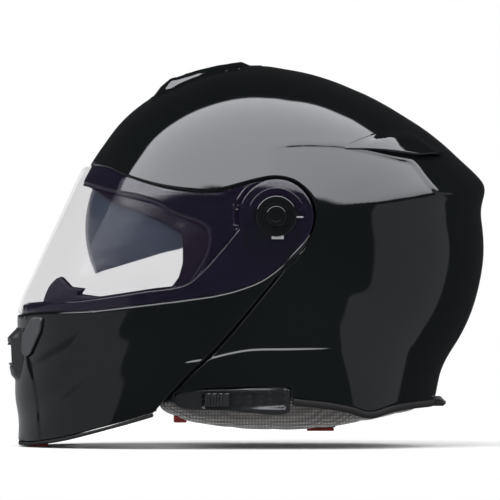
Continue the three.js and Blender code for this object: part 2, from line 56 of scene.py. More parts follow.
# ------------------------------------------------------------------ the design surface, in millimetres
SIL_UP = [[138.4, 28.9], [142.1, 47.4], [143.6, 54.8], [151, 69.6], [158.4, 81.4], [165.8, 96.9],
          [173.2, 122.8], [176.1, 145], [173.8, 174.6], [176.9, 191.7], [169.5, 201.3], [158.4, 211.6], [147.3, 222],
          [132.5, 233.8], [114, 245.7], [91.8, 258.3], [73.3, 266.4], [54.8, 273.1], [32.6, 278.2], [12.6, 281.2],
          [-0.7, 281], [-34, 274.5], [-52.5, 267.4], [-68.1, 258.9], [-93.2, 238.5], [-104.3, 224]]
SIL_LO = [[-155, -70], [-110, -105], [0, -115], [80, -100], [120, -60], [133, 0]]
FRONT_SHELL = [[-113.2, 211], [-121.2, 196], [-125, 188], [-133, 168], [-144, 140], [-153, 110], [-160, 70], [-163, 30], [-163, -15]]
FRONT_SHIELD = [[-120.1, 206.9], [-131.7, 182.8], [-143.6, 157.6], [-156.9, 128.8], [-169, 98.4], [-169.2, 92],
                [-168.7, 80], [-169, 60], [-170.2, 45], [-169.6, 32.3], [-167.6, 22.9], [-167.4, 13.3], [-168, 4], [-166, -20]]


def polar(points):
    k = sorted((math.atan2(z - C[1], x - C[0]) % (2 * math.pi), math.hypot(x - C[0], z - C[1])) for x, z in points)
    n = len(k)
    A = np.array([k[i % n][0] + 2 * math.pi * (i // n) for i in range(-2, n + 3)])
    R = np.array([k[i % n][1] for i in range(-2, n + 3)])
    s = np.diff(R) / np.diff(A)
    m = np.zeros(len(A))
    for i in range(1, len(A) - 1):
        s0, s1 = s[i - 1], s[i]
        if s0 * s1 > 0:
            h0, h1 = A[i] - A[i - 1], A[i + 1] - A[i]
            m[i] = (3 * h1 + 3 * h0) / ((2 * h1 + h0) / s0 + (h1 + 2 * h0) / s1)

    def f(a):
        a = (np.asarray(a, float) - A[2]) % (2 * math.pi) + A[2]
        i = np.clip(np.searchsorted(A, a, side="right") - 1, 2, n + 1)
        h = A[i + 1] - A[i]
        t = (a - A[i]) / h
        return ((2 * t**3 - 3 * t**2 + 1) * R[i] + (t**3 - 2 * t**2 + t) * h * m[i]
                + (-2 * t**3 + 3 * t**2) * R[i + 1] + (t**3 - t**2) * h * m[i + 1])
    return f


def smooth_polar(f, width, n=1440):
    """the same silhouette with its small corners eased over the given angle in degrees"""
    a = np.linspace(0, 2 * math.pi, n, endpoint=False)
    r = f(a)
    k = int(n * width / 360)
    w = np.hanning(2 * k + 3)[1:-1]
    w /= w.sum()
    rr = np.convolve(np.concatenate([r[-k:], r, r[:k]]), w, mode="valid")
    return lambda x: np.interp(np.asarray(x) % (2 * math.pi), np.append(a, 2 * math.pi), np.append(rr, rr[0]))


SHELL = smooth_polar(polar(SIL_UP + FRONT_SHELL + SIL_LO), 3.0)
SHIELD = smooth_polar(polar(SIL_UP[:-1] + FRONT_SHIELD + SIL_LO), 2.0)


class Surf:
    """A dome: silhouette curve less dr, half-width w, about a centre. A bump adds a height along the normal."""
    def __init__(self, curve, dr, w, centre=C, pt=PT, py=PY, bump=None, flat=None):
        self.curve, self.dr, self.w, self.c, self.pt, self.py, self.bump, self.flat = curve, dr, w, np.array(centre, float), pt, py, bump, flat

    def inner(self, d):
        s = Surf(self.curve, self.dr + d, self.w - d, self.c, self.pt, self.py, self.bump, None)
        if self.flat:
            f = self.flat
            s.flat = lambda x, z, y: f(x, z, y + d) - d
        return s

    def dom(self, x, z):
        """side plane to the unrolled plane"""
        dx, dz = np.asarray(x, float) - self.c[0], np.asarray(z, float) - self.c[1]
        a, r = np.arctan2(dz, dx), np.hypot(dx, dz)
        R = self.curve(a)
        t = np.clip(r / np.maximum(R - self.dr, 1e-6), 0, 1)
        rho = 1 - np.arccos(np.clip(t ** (self.pt / 2), 0, 1)) / (math.pi / 2)
        return self.c[0] + R * rho * np.cos(a), self.c[1] + R * rho * np.sin(a), rho

    def base(self, u, v):
        dx, dz = np.asarray(u, float) - self.c[0], np.asarray(v, float) - self.c[1]
        a, q = np.arctan2(dz, dx), np.hypot(dx, dz)
        R = self.curve(a)
        rho = q / R
        f = (math.pi / 2) * (1 - rho)
        t = np.abs(np.cos(f)) ** (2 / self.pt)
        y = -self.w * np.sign(np.sin(f)) * np.abs(np.sin(f)) ** (2 / self.py)
        x, z = self.c[0] + (R - self.dr) * t * np.cos(a), self.c[1] + (R - self.dr) * t * np.sin(a)
        if self.flat:
            y = -np.sign(-y + 1e-12) * self.flat(x, z, np.abs(y)) if False else np.where(y <= 0, -self.flat(x, z, np.abs(y)), self.flat(x, z, np.abs(y)))
        return np.stack([x, y, z], -1)

    def normal0(self, u, v, e=0.25):
        pu = self.base(u + e, v) - self.base(u - e, v)
        pv = self.base(u, v + e) - self.base(u, v - e)
        n = np.cross(pu, pv)
        n /= np.maximum(np.linalg.norm(n, axis=-1, keepdims=True), 1e-12)
        return n

    def at(self, u, v):
        p = self.base(u, v)
        if self.bump is not None:
            p = p + self.normal0(u, v) * self.bump(p[..., 0], p[..., 2])[..., None]
        return p

    def normal(self, u, v, e=0.25):
        pu = self.at(u + e, v) - self.at(u - e, v)
        pv = self.at(u, v + e) - self.at(u, v - e)
        n = np.cross(pu, pv)
        return n / np.maximum(np.linalg.norm(n, axis=-1, keepdims=True), 1e-12)


# ------------------------------------------------------------------ curves
def catmull(pts, step=1.5, closed=False):
    p = np.array(pts, float)
    n = len(p)
    out = []
    seg = n if closed else n - 1
    for i in range(seg):
        p1, p2 = p[i], p[(i + 1) % n]
        p0 = p[(i - 1) % n] if (closed or i > 0) else 2 * p1 - p2
        p3 = p[(i + 2) % n] if (closed or i + 2 < n) else 2 * p2 - p1
        d0, d1, d2 = [max(np.linalg.norm(b - a) ** 0.5, 1e-6) for a, b in ((p0, p1), (p1, p2), (p2, p3))]
        m1 = (p1 - p0) / d0 - (p2 - p0) / (d0 + d1) + (p2 - p1) / d1
        m2 = (p2 - p1) / d1 - (p3 - p1) / (d1 + d2) + (p3 - p2) / d2
        m1, m2 = m1 * d1, m2 * d1
        k = max(1, int(round(np.linalg.norm(p2 - p1) / step)))
        for j in range(k):
            t = j / k
            out.append((2 * t**3 - 3 * t**2 + 1) * p1 + (t**3 - 2 * t**2 + t) * m1 + (-2 * t**3 + 3 * t**2) * p2 + (t**3 - t**2) * m2)
    if not closed:
        out.append(p[-1])
    return np.array(out)


def line(a, b, step=1.5):
    a, b = np.array(a, float), np.array(b, float)
    n = max(1, int(np.linalg.norm(b - a) / step))
    return np.array([a + (b - a) * i / n for i in range(n + 1)])


def arc(c, r, a0, a1, step=1.5):
    n = max(6, int(abs(math.radians(a1 - a0)) * r / step))
    t = np.radians(np.linspace(a0, a1, n + 1))
    return np.stack([c[0] + r * np.cos(t), c[1] + r * np.sin(t)], -1)


def shift(pts, d):
    """moves an open line to its left by d"""
    p = np.array(pts, float)
    t = np.gradient(p, axis=0)
    t /= np.maximum(np.linalg.norm(t, axis=1, keepdims=True), 1e-9)
    return p + np.stack([-t[:, 1], t[:, 0]], -1) * d


def join(*parts):
    out = []
    for p in parts:
        for q in np.array(p, float):
            if not out or np.linalg.norm(out[-1] - q) > 0.2:
                out.append(q)
    if np.linalg.norm(out[0] - out[-1]) < 0.2:
        out.pop()
    return np.array(out)


def inside(poly, x, y):
    x, y = np.asarray(x), np.asarray(y)
    res = np.zeros(x.shape, bool)
    n = len(poly)
    for i in range(n):
        x1, y1 = poly[i]
        x2, y2 = poly[(i + 1) % n]
        if y1 == y2:
            continue
        m = ((y1 > y) != (y2 > y)) & (x < (x2 - x1) * (y - y1) / (y2 - y1) + x1)
        res ^= m
    return res


def seg_dist(pts, a, b):
    d = b - a
    L = np.maximum((d * d).sum(-1), 1e-12)
    t = np.clip(((pts[:, None] - a) * d).sum(-1) / L, 0, 1)
    q = a + t[..., None] * d
    dist = np.linalg.norm(pts[:, None] - q, axis=-1)
    i = dist.argmin(1)
    r = np.arange(len(pts))
    return dist[r, i], q[r, i]


# ------------------------------------------------------------------ meshes
def new_object(name, verts, faces, normals=None, smooth=True):
    me = bpy.data.meshes.new(name)
    me.from_pydata([tuple(v) for v in np.asarray(verts) * MM], [], [tuple(int(i) for i in f) for f in faces])
    me.validate(clean_customdata=False)
    me.update()
    if smooth:
        me.polygons.foreach_set("use_smooth", [True] * len(me.polygons))
    if normals is not None and len(normals) == len(me.loops):
        me.normals_split_custom_set([tuple(n) for n in normals])
    ob = bpy.data.objects.new(name, me)
    bpy.context.scene.collection.objects.link(ob)
    return ob


def mirrored(v, n=None):
    v = np.array(v) * [1, -1, 1]
    return v


class Soup:
    """collects pieces of one object with a normal for each face corner"""
    def __init__(self):
        self.v, self.f, self.n = [], [], []

    def add(self, verts, faces, normals):
        o = len(self.v)
        self.v.extend(np.asarray(verts, float).tolist())
        for f, n in zip(faces, normals):
            self.f.append([o + i for i in f])
            self.n.extend(n)

    def make(self, name):
        return new_object(name, self.v, self.f, self.n)


def panel(soup, outline, surf, wall, fillet=1.0, spacing=3.5, holes=(), sides="both", inner=None, rings=()):
    """A skin over the part of the dome inside an outline of the side plane, on the left, the right or across both."""
    inner = inner or surf.inner(wall)
    dense = []
    pl = np.array(outline, float)
    for i in range(len(pl)):
        a, b = pl[i], pl[(i + 1) % len(pl)]
        k = max(1, int(np.linalg.norm(b - a) / 1.6))
        dense += [a + (b - a) * j / k for j in range(k)]
    dense = np.array(dense)
    u, v, rho = surf.dom(dense[:, 0], dense[:, 1])
    poly = np.stack([u, v], -1)
    keep = [0]
    for i in range(1, len(poly)):
        if np.linalg.norm(poly[i] - poly[keep[-1]]) > 0.7:
            keep.append(i)
    if np.linalg.norm(poly[keep[-1]] - poly[keep[0]]) < 0.7:
        keep.pop()
    poly, rho = poly[keep], rho[keep]
    sil = rho > 0.99999
    loops = [(poly, sil)]
    for h in holes:
        hu, hv, _ = surf.dom(h[:, 0], h[:, 1])
        loops.append((np.stack([hu, hv], -1), np.zeros(len(h), bool)))
    pts, edges, edge_flag = [], [], []
    bnd_idx = []
    for P, s in loops:
        o = len(pts)
        pts += P.tolist()
        idx = list(range(o, o + len(P)))
        bnd_idx.append(idx)
        for i in range(len(P)):
            edges.append((idx[i], idx[(i + 1) % len(P)]))
            edge_flag.append(bool(s[i] and s[(i + 1) % len(P)]))
    nb = len(pts)
    allb = np.array(pts)
    ea = np.array([allb[a] for (a, b), fl in zip(edges, edge_flag) if not fl])
    eb = np.array([allb[b] for (a, b), fl in zip(edges, edge_flag) if not fl])
    # rows that follow the edges
    extra = []
    for (P, s), sign in zip(loops, [1] + [-1] * len(holes)):
        area = 0.5 * np.sum(P[:, 0] * np.roll(P[:, 1], -1) - np.roll(P[:, 0], -1) * P[:, 1])
        t = np.roll(P, -1, 0) - np.roll(P, 1, 0)
        t /= np.maximum(np.linalg.norm(t, axis=1, keepdims=True), 1e-9)
        nrm = np.stack([-t[:, 1], t[:, 0]], -1) * (1 if area > 0 else -1) * sign
        for k, d in enumerate(np.array([0.12, 0.35, 0.7, 1.15]) * fillet):
            if k % 2 == 0 or True:
                q = P + nrm * d
                extra.append(q[~s])
    for ring in rings:
        ru, rv, _ = surf.dom(ring[:, 0], ring[:, 1])
        extra.append(np.stack([ru, rv], -1))
    extra = np.concatenate(extra)
    lo, hi = poly.min(0), poly.max(0)
    g = []
    row = 0
    yv = lo[1] + spacing * 0.5
    while yv < hi[1]:
        xs = np.arange(lo[0] + (spacing * 0.5 if row % 2 else 0), hi[0], spacing)
        g.append(np.stack([xs, np.full(len(xs), yv)], -1))
        yv += spacing * 0.866
        row += 1
    grid = np.concatenate(g)

    def good(q, margin):
        m = inside(poly, q[:, 0], q[:, 1])
        for P, _ in loops[1:]:
            m &= ~inside(P, q[:, 0], q[:, 1])
        q = q[m]
        if not len(q):
            return q
        out = []
        for k in range(0, len(q), 3000):
            d, _ = seg_dist(q[k:k + 3000], ea, eb)
            out.append(q[k:k + 3000][d > margin])
        q = np.concatenate(out)
        rr = np.hypot(q[:, 0] - surf.c[0], q[:, 1] - surf.c[1]) / surf.curve(np.arctan2(q[:, 1] - surf.c[1], q[:, 0] - surf.c[0]))
        return q[rr < 1 - 0.006 * spacing / 3.5]
    extra = good(extra, 0.09 * fillet)
    grid = good(grid, max(1.3 * fillet, spacing * 0.45))
    allp = np.concatenate([allb, extra, grid])
    vc, ec, fc, ov, _, _ = delaunay_2d_cdt([Vector(p) for p in allp], edges, [], 0, 1e-4)
    vc = np.array([[p.x, p.y] for p in vc])
    cen = np.array([vc[list(f)].mean(0) for f in fc])
    m = inside(poly, cen[:, 0], cen[:, 1])
    for P, _ in loops[1:]:
        m &= ~inside(P, cen[:, 0], cen[:, 1])
    F = [list(f) for f, k in zip(fc, m) if k]
    used = sorted({i for f in F for i in f})
    rem = {o: i for i, o in enumerate(used)}
    D = vc[used]
    F = [[rem[i] for i in f] for f in F]
    # orientation: make the unrolled triangles run counter-clockwise
    for f in F:
        a, b, c = D[f[0]], D[f[1]], D[f[2]]
        if (b[0] - a[0]) * (c[1] - a[1]) - (b[1] - a[1]) * (c[0] - a[0]) < 0:
            f[1], f[2] = f[2], f[1]
    uu, vv = D[:, 0], D[:, 1]
    rr = np.hypot(uu - surf.c[0], vv - surf.c[1]) / surf.curve(np.arctan2(vv - surf.c[1], uu - surf.c[0]))
    on_sil = rr > 0.9995
    po = surf.at(uu, vv)
    no = surf.normal(uu, vv)
    if np.mean(no[:, 1][~on_sil]) > 0:
        no = -no
    pi = inner.base(uu, vv) if inner.bump is None else inner.at(uu, vv)
    po[on_sil, 1] = 0
    pi[on_sil, 1] = 0
    # distance to the edge in space
    sa, sb = surf.at(ea[:, 0], ea[:, 1]), surf.at(eb[:, 0], eb[:, 1])
    ddom, qd = [], []
    for k in range(0, len(D), 3000):
        d, q = seg_dist(D[k:k + 3000], ea, eb)
        ddom.append(d)
        qd.append(q)
    ddom, qd = np.concatenate(ddom), np.concatenate(qd)
    near = ddom < fillet * 3 + 1
    s = np.full(len(D), 1e9)
    q3 = surf.at(qd[:, 0], qd[:, 1])
    s[near] = np.linalg.norm(po[near] - q3[near], axis=1)
    s[ddom < 1e-4] = 0
    outn = no.copy()
    posn = po.copy()
    z = s < fillet
    if z.any():
        x = np.clip((fillet - s[z]) / fillet, 0, 1)
        drop = fillet * (1 - np.sqrt(np.maximum(0, 1 - x * x)))
        e = q3[z] - po[z]
        # where the point is on the edge itself, the way out comes from the unrolled outline
        el = np.linalg.norm(e, axis=1)
        tiny = el < 1e-3
        if tiny.any():
            Q = D[np.where(z)[0][tiny]]
            k = np.minimum(np.linalg.norm(Q[:, None] - ea, axis=2), np.linalg.norm(Q[:, None] - eb, axis=2)).argmin(1)
            t = eb[k] - ea[k]
            cand = np.stack([-t[:, 1], t[:, 0]], -1)
            cand /= np.maximum(np.linalg.norm(cand, axis=1, keepdims=True), 1e-9)
            test = Q + cand * 0.3
            ins = inside(poly, test[:, 0], test[:, 1])
            for P, _ in loops[1:]:
                ins &= ~inside(P, test[:, 0], test[:, 1])
            cand[ins] *= -1
            seg_t = surf.at(Q[:, 0] + cand[:, 0] * 0.3, Q[:, 1] + cand[:, 1] * 0.3) - surf.at(Q[:, 0], Q[:, 1])
            e[tiny] = np.array(seg_t)
        e -= (e * no[z]).sum(1, keepdims=True) * no[z]
        e /= np.maximum(np.linalg.norm(e, axis=1, keepdims=True), 1e-9)
        x2 = np.minimum(x, 0.97)
        posn[z] = po[z] - no[z] * np.minimum(drop, wall * 0.8)[:, None]
        nn = no[z] * np.sqrt(1 - x2 * x2)[:, None] + e * x2[:, None]
        outn[z] = nn / np.linalg.norm(nn, axis=1, keepdims=True)
    outn[on_sil, 1] = 0
    outn /= np.maximum(np.linalg.norm(outn, axis=1, keepdims=True), 1e-9)
    # boundary walls
    cnt = {}
    for f in F:
        for a, b in ((f[0], f[1]), (f[1], f[2]), (f[2], f[0])):
            cnt[(a, b)] = 1
    rim = [(a, b) for (a, b) in cnt if (b, a) not in cnt and not (on_sil[a] and on_sil[b])]
    ni = -no

    def emit(flip, P, Q, N, NI):
        n = len(P)
        verts = np.concatenate([P, Q])
        faces, norms = [], []
        for f in F:
            a = f if not flip else [f[0], f[2], f[1]]
            faces.append(a)
            norms.append([N[i] for i in a])
            b = [a[0] + n, a[2] + n, a[1] + n]
            faces.append(b)
            norms.append([NI[i - n] for i in b])
        for a, b in rim:
            if flip:
                a, b = b, a
            q = [b, a, a + n, b + n]
            x = np.cross(verts[q[1]] - verts[q[0]], verts[q[2]] - verts[q[0]])
            l = np.linalg.norm(x)
            x = x / l if l > 1e-9 else np.array([0, 0, 1.0])
            faces.append(q)
            norms.append([x] * 4)
        return verts, faces, norms
    # left side: the unrolled plane seen from the left has outward normals toward -Y
    fl = (np.cross(po[F[0][1]] - po[F[0][0]], po[F[0][2]] - po[F[0][0]]) @ no[F[0][0]]) < 0
    left_part = emit(fl, posn, pi, outn, ni)
    mir = np.array([1, -1, 1.0])
    right_part = emit(not fl, posn * mir, pi * mir, outn * mir, ni * mir)
    if sides == "left":
        soup.add(*left_part)
    elif sides == "right":
        soup.add(*right_part)
    elif not on_sil.any():
        soup.add(*left_part)
        soup.add(*right_part)
    else:
        n = len(posn)
        v1, f1, n1 = left_part
        v2, f2, n2 = right_part
        share = {}
        verts = v1.tolist()
        for i in range(2 * n):
            if on_sil[i % n]:
                share[i] = i
            else:
                share[i] = len(verts)
                verts.append(v2[i].tolist())
        f2 = [[share[i] for i in f] for f in f2]
        soup.add(verts, f1 + f2, n1 + n2)


def lathe_y(soup, profile, centre, side, n=64, a0=0, a1=360):
    """A closed profile of (radius, |y|) turned about a line along Y through a point of the side plane."""
    prof = np.array(profile, float)
    k = len(prof)
    full = abs(a1 - a0) >= 359.9
    cols = n if full else n + 1
    verts = []
    for i in range(cols):
        a = math.radians(a0 + (a1 - a0) * i / n)
        for r, y in prof:
            verts.append([centre[0] + r * math.cos(a), side * y, centre[1] + r * math.sin(a)])
    verts = np.array(verts)
    faces, norms = [], []
    area = 0.5 * np.sum(prof[:, 0] * np.roll(prof[:, 1], -1) - np.roll(prof[:, 0], -1) * prof[:, 1])
    for i in range(n):
        j = (i + 1) % cols
        for p in range(k):
            q = (p + 1) % k
            d = prof[q] - prof[p]
            nr, ny = (d[1], -d[0]) if area > 0 else (-d[1], d[0])
            l = math.hypot(nr, ny) or 1
            nr, ny = nr / l, ny / l
            f = [i * k + p, j * k + p, j * k + q, i * k + q]
            nv = []
            for idx in f:
                a = math.radians(a0 + (a1 - a0) * (idx // k) / n)
                nv.append(np.array([nr * math.cos(a), side * ny, nr * math.sin(a)]))
            w = np.cross(verts[f[1]] - verts[f[0]], verts[f[2]] - verts[f[0]])
            if np.linalg.norm(w) < 1e-9:
                w = np.cross(verts[f[2]] - verts[f[0]], verts[f[3]] - verts[f[0]])
            if w @ nv[0] < 0:
                f = f[::-1]
                nv = nv[::-1]
            faces.append(f)
            norms.append(nv)
    if not full:
        for i, rev in ((0, 0), (cols - 1, 1)):
            f = [i * k + p for p in range(k)]
            w = np.cross(verts[f[1]] - verts[f[0]], verts[f[2]] - verts[f[0]])
            a = math.radians(a0 if i == 0 else a1)
            t = np.array([-math.sin(a), 0, math.cos(a)]) * (-1 if i == 0 else 1)
            if w @ t < 0:
                f = f[::-1]
            faces.append(f)
            norms.append([t] * k)
    soup.add(verts, faces, norms)


def sweep(soup, path, nrm, profile, closed=False):
    """A closed profile of (across, up) carried along a path in space; up is the given normal at each point."""
    P, N = np.array(path, float), np.array(nrm, float)
    n = len(P)
    if closed:
        T = np.roll(P, -1, 0) - np.roll(P, 1, 0)
    else:
        T = np.gradient(P, axis=0)
    T /= np.maximum(np.linalg.norm(T, axis=1, keepdims=True), 1e-9)
    N = N - (N * T).sum(1, keepdims=True) * T
    N /= np.maximum(np.linalg.norm(N, axis=1, keepdims=True), 1e-9)
    B = np.cross(T, N)
    prof = np.array(profile, float)
    k = len(prof)
    verts = (P[:, None] + B[:, None] * prof[None, :, :1] + N[:, None] * prof[None, :, 1:2]).reshape(-1, 3)
    pn = np.roll(prof, -1, 0) - np.roll(prof, 1, 0)
    area = 0.5 * np.sum(prof[:, 0] * np.roll(prof[:, 1], -1) - np.roll(prof[:, 0], -1) * prof[:, 1])
    sg = 1 if area > 0 else -1
    pn = np.stack([pn[:, 1], -pn[:, 0]], -1) * sg
    pn /= np.maximum(np.linalg.norm(pn, axis=1, keepdims=True), 1e-9)
    vn = (B[:, None] * pn[None, :, :1] + N[:, None] * pn[None, :, 1:2]).reshape(-1, 3)
    faces, norms = [], []
    m = n if closed else n - 1
    for i in range(m):
        j = (i + 1) % n
        for p in range(k):
            q = (p + 1) % k
            f = [i * k + p, j * k + p, j * k + q, i * k + q]
            w = np.cross(verts[f[1]] - verts[f[0]], verts[f[3]] - verts[f[0]])
            if w @ vn[f[0]] < 0:
                f = f[::-1]
            faces.append(f)
            norms.append([vn[x] for x in f])
    if not closed:
        for i, t in ((0, -T[0]), (n - 1, T[-1])):
            f = [i * k + p for p in range(k)]
            w = np.cross(verts[f[1]] - verts[f[0]], verts[f[2]] - verts[f[0]])
            if w @ t < 0:
                f = f[::-1]
            faces.append(f)
            norms.append([t] * k)
    soup.add(verts, faces, norms)


def across(surf, pts, lift=0.0):
    """A side-plane line from the left, over the front, to the right: points and normals on the surface.
    The line starts at its low end and ends on the silhouette."""
    pts = np.array(pts, float)
    u, v, rho = surf.dom(pts[:, 0], pts[:, 1])
    cut = np.where(rho > 0.99999)[0]
    if len(cut):
        u, v = u[:cut[0] + 1], v[:cut[0] + 1]
    P, N = surf.at(u, v), surf.normal(u, v)
    if np.mean(N[:, 1]) > 0:
        N = -N
    if len(cut):
        P[-1, 1] = 0
        N[-1, 1] = 0
    N /= np.linalg.norm(N, axis=1, keepdims=True)
    P = P + N * lift
    mir = np.array([1, -1, 1.0])
    if len(cut):
        return np.concatenate([P, (P * mir)[::-1][1:]]), np.concatenate([N, (N * mir)[::-1][1:]])
    return P, N


def oval(a, b, n=14):
    t = np.linspace(0, 2 * math.pi, n, endpoint=False)
    return np.stack([a * np.cos(t), b * np.sin(t)], -1)


def bevel_box(name, lo, hi, r=0.8, seg=3):
    import bmesh
    bm = bmesh.new()
    bmesh.ops.create_cube(bm, size=1)
    lo, hi = np.array(lo, float), np.array(hi, float)
    for v in bm.verts:
        v.co = Vector(((np.array(v.co) + 0.5) * (hi - lo) + lo) * MM)
    bmesh.ops.bevel(bm, geom=list(bm.edges), offset=r * MM, segments=seg, profile=0.5, affect="EDGES")
    me = bpy.data.meshes.new(name)
    bm.to_mesh(me)
    bm.free()
    for p in me.polygons:
        p.use_smooth = True
    me.set_sharp_from_angle(angle=math.radians(40)) if hasattr(me, "set_sharp_from_angle") else None
    ob = bpy.data.objects.new(name, me)
    bpy.context.scene.collection.objects.link(ob)
    return ob


# ------------------------------------------------------------------ materials
class Nodes:
    def __init__(self, name):
        self.m = bpy.data.materials.new(name)
        self.m.use_nodes = True
        self.t = self.m.node_tree
        self.b = self.t.nodes["Principled BSDF"]
        self.co = self.t.nodes.new("ShaderNodeTexCoord").outputs["Object"]

    def new(self, kind, **kw):
        n = self.t.nodes.new(kind)
        for k, v in kw.items():
            if hasattr(n, k):
                setattr(n, k, v)
            else:
                n.inputs[k.replace("_", " ")].default_value = v
        return n

    def link(self, a, b):
        self.t.links.new(a, b)

    def noise(self, scale, detail=3, rough=0.55, co=None):
        n = self.new("ShaderNodeTexNoise")
        n.inputs["Scale"].default_value = scale
        n.inputs["Detail"].default_value = detail
        n.inputs["Roughness"].default_value = rough
        self.link(co or self.co, n.inputs["Vector"])
        return n.outputs["Fac"]

    def math(self, op, a, b=None, clamp=False):
        n = self.new("ShaderNodeMath")
        n.operation = op
        n.use_clamp = clamp
        for i, x in enumerate((a, b)):
            if x is None:
                continue
            if isinstance(x, (int, float)):
                n.inputs[i].default_value = x
            else:
                self.link(x, n.inputs[i])
        return n.outputs[0]

    def ramp(self, fac, lo, hi, p0=0.0, p1=1.0):
        r = self.new("ShaderNodeMapRange")
        self.link(fac, r.inputs[0])
        r.inputs[1].default_value, r.inputs[2].default_value = p0, p1
        r.inputs[3].default_value, r.inputs[4].default_value = lo, hi
        return r.outputs[0]

    def colour(self, fac, c0, c1, p0=0.0, p1=1.0):
        r = self.new("ShaderNodeValToRGB")
        e = r.color_ramp.elements
        e[0].position, e[1].position = p0, p1
        e[0].color, e[1].color = (*c0, 1), (*c1, 1)
        self.link(fac, r.inputs[0])
        return r.outputs[0]

    def bump(self, height, dist, strength=1.0, after=None):
        b = self.new("ShaderNodeBump")
        b.inputs["Strength"].default_value = strength
        b.inputs["Distance"].default_value = dist
        self.link(height, b.inputs["Height"])
        if after is not None:
            self.link(after, b.inputs["Normal"])
        return b.outputs[0]

    def wave(self, scale, axis, co=None, dist=0.0):
        w = self.new("ShaderNodeTexWave")
        w.bands_direction = axis
        w.inputs["Scale"].default_value = scale
        w.inputs["Distortion"].default_value = dist
        self.link(co or self.co, w.inputs["Vector"])
        return w.outputs["Fac"]


def plastic(name, base, rough, grain, depth, spec=0.5, wear=0.06):
    n = Nodes(name)
    f = n.noise(grain, 4)
    big = n.noise(9, 3)
    c0 = [max(0, c * (1 - 0.25)) for c in base]
    c1 = [c * 1.3 + 0.002 for c in base]
    n.link(n.colour(big, c0, c1, 0.3, 0.7), n.b.inputs["Base Color"])
    n.link(n.ramp(n.noise(60, 4), rough - wear, rough + wear, 0.3, 0.7), n.b.inputs["Roughness"])
    n.link(n.bump(f, depth), n.b.inputs["Normal"])
    n.b.inputs["Specular IOR Level"].default_value = spec
    return n.m


def lacquer(name):
    n = Nodes(name)
    big = n.noise(5, 2)
    n.link(n.colour(big, (0.0035, 0.0045, 0.0048), (0.0055, 0.0068, 0.0072), 0.3, 0.7), n.b.inputs["Base Color"])
    wipe = n.noise(14, 6, 0.7)
    n.link(n.ramp(wipe, 0.045, 0.085, 0.4, 0.8), n.b.inputs["Roughness"])
    n.b.inputs["Specular IOR Level"].default_value = 0.5
    n.b.inputs["Coat Weight"].default_value = 0.0
    n.link(n.bump(n.noise(220, 2), 0.00001, 0.25), n.b.inputs["Normal"])
    return n.m


def clear_sheet(name, tint, body, alpha, rough, fine):
    n = Nodes(name)
    haze = n.noise(16, 5, 0.65)
    n.link(n.colour(haze, body, [c * 1.12 for c in body], 0.35, 0.75), n.b.inputs["Base Color"])
    n.link(n.ramp(haze, rough, rough + 0.03, 0.4, 0.8), n.b.inputs["Roughness"])
    n.link(n.ramp(n.noise(7, 3), alpha - 0.012, alpha + 0.012, 0.3, 0.7), n.b.inputs["Alpha"])
    n.link(n.bump(n.noise(40, 2), 0.00002, fine), n.b.inputs["Normal"])
    n.b.inputs["Specular IOR Level"].default_value = 0.5
    n.m.surface_render_method = "BLENDED"
    return n.m


def knit(name, base, scale=1.0, rough=0.9, sheen=0.25):
    n = Nodes(name)
    warp = n.noise(30, 2)
    a = n.wave(330 * scale, "X", dist=0.6)
    b = n.wave(330 * scale, "Y", dist=0.6)
    c = n.wave(330 * scale, "Z", dist=0.6)
    loops = n.math("ADD", n.math("MULTIPLY", a, b), n.math("MULTIPLY", b, c))
    loops = n.math("ADD", loops, n.math("MULTIPLY", a, c))
    mix = n.math("ADD", n.math("MULTIPLY", loops, 0.35), n.math("MULTIPLY", warp, 0.5))
    n.link(n.colour(mix, [x * 0.45 for x in base], [x * 1.6 + 0.004 for x in base], 0.15, 0.85), n.b.inputs["Base Color"])
    n.link(n.ramp(n.noise(80, 3), rough - 0.08, min(1, rough + 0.08), 0.3, 0.7), n.b.inputs["Roughness"])
    n.link(n.bump(loops, 0.0005, 0.8, n.bump(warp, 0.0015, 0.4)), n.b.inputs["Normal"])
    n.b.inputs["Sheen Weight"].default_value = sheen
    n.b.inputs["Sheen Roughness"].default_value = 0.5
    return n.m


def woven(name, base, rough=0.8):
    n = Nodes(name)
    mp = n.new("ShaderNodeMapping")
    mp.inputs["Rotation"].default_value = (0.0, 0.0, 0.0)
    n.link(n.co, mp.inputs["Vector"])
    a = n.wave(190, "X", mp.outputs[0], 0.4)
    d = n.wave(240, "DIAGONAL", mp.outputs[0], 0.4)
    h = n.math("MAXIMUM", a, d)
    n.link(n.colour(h, [x * 0.5 for x in base], [x * 1.5 + 0.003 for x in base], 0.2, 0.9), n.b.inputs["Base Color"])
    n.link(n.ramp(n.noise(120, 3), rough - 0.1, rough + 0.1, 0.3, 0.7), n.b.inputs["Roughness"])
    n.link(n.bump(h, 0.0006, 0.9), n.b.inputs["Normal"])
    n.b.inputs["Sheen Weight"].default_value = 0.15
    return n.m


def bead_foam(name):
    n = Nodes(name)
    v = n.new("ShaderNodeTexVoronoi")
    v.inputs["Scale"].default_value = 330
    n.link(n.co, v.inputs["Vector"])
    e = n.new("ShaderNodeTexVoronoi", feature="DISTANCE_TO_EDGE")
    e.inputs["Scale"].default_value = 330
    n.link(n.co, e.inputs["Vector"])
    n.link(n.colour(e.outputs["Distance"], (0.011, 0.011, 0.012), (0.034, 0.034, 0.036), 0.0, 0.25), n.b.inputs["Base Color"])
    n.link(n.ramp(v.outputs["Distance"], 0.72, 0.92), n.b.inputs["Roughness"])
    n.link(n.bump(e.outputs["Distance"], 0.0006, 0.7), n.b.inputs["Normal"])
    return n.m


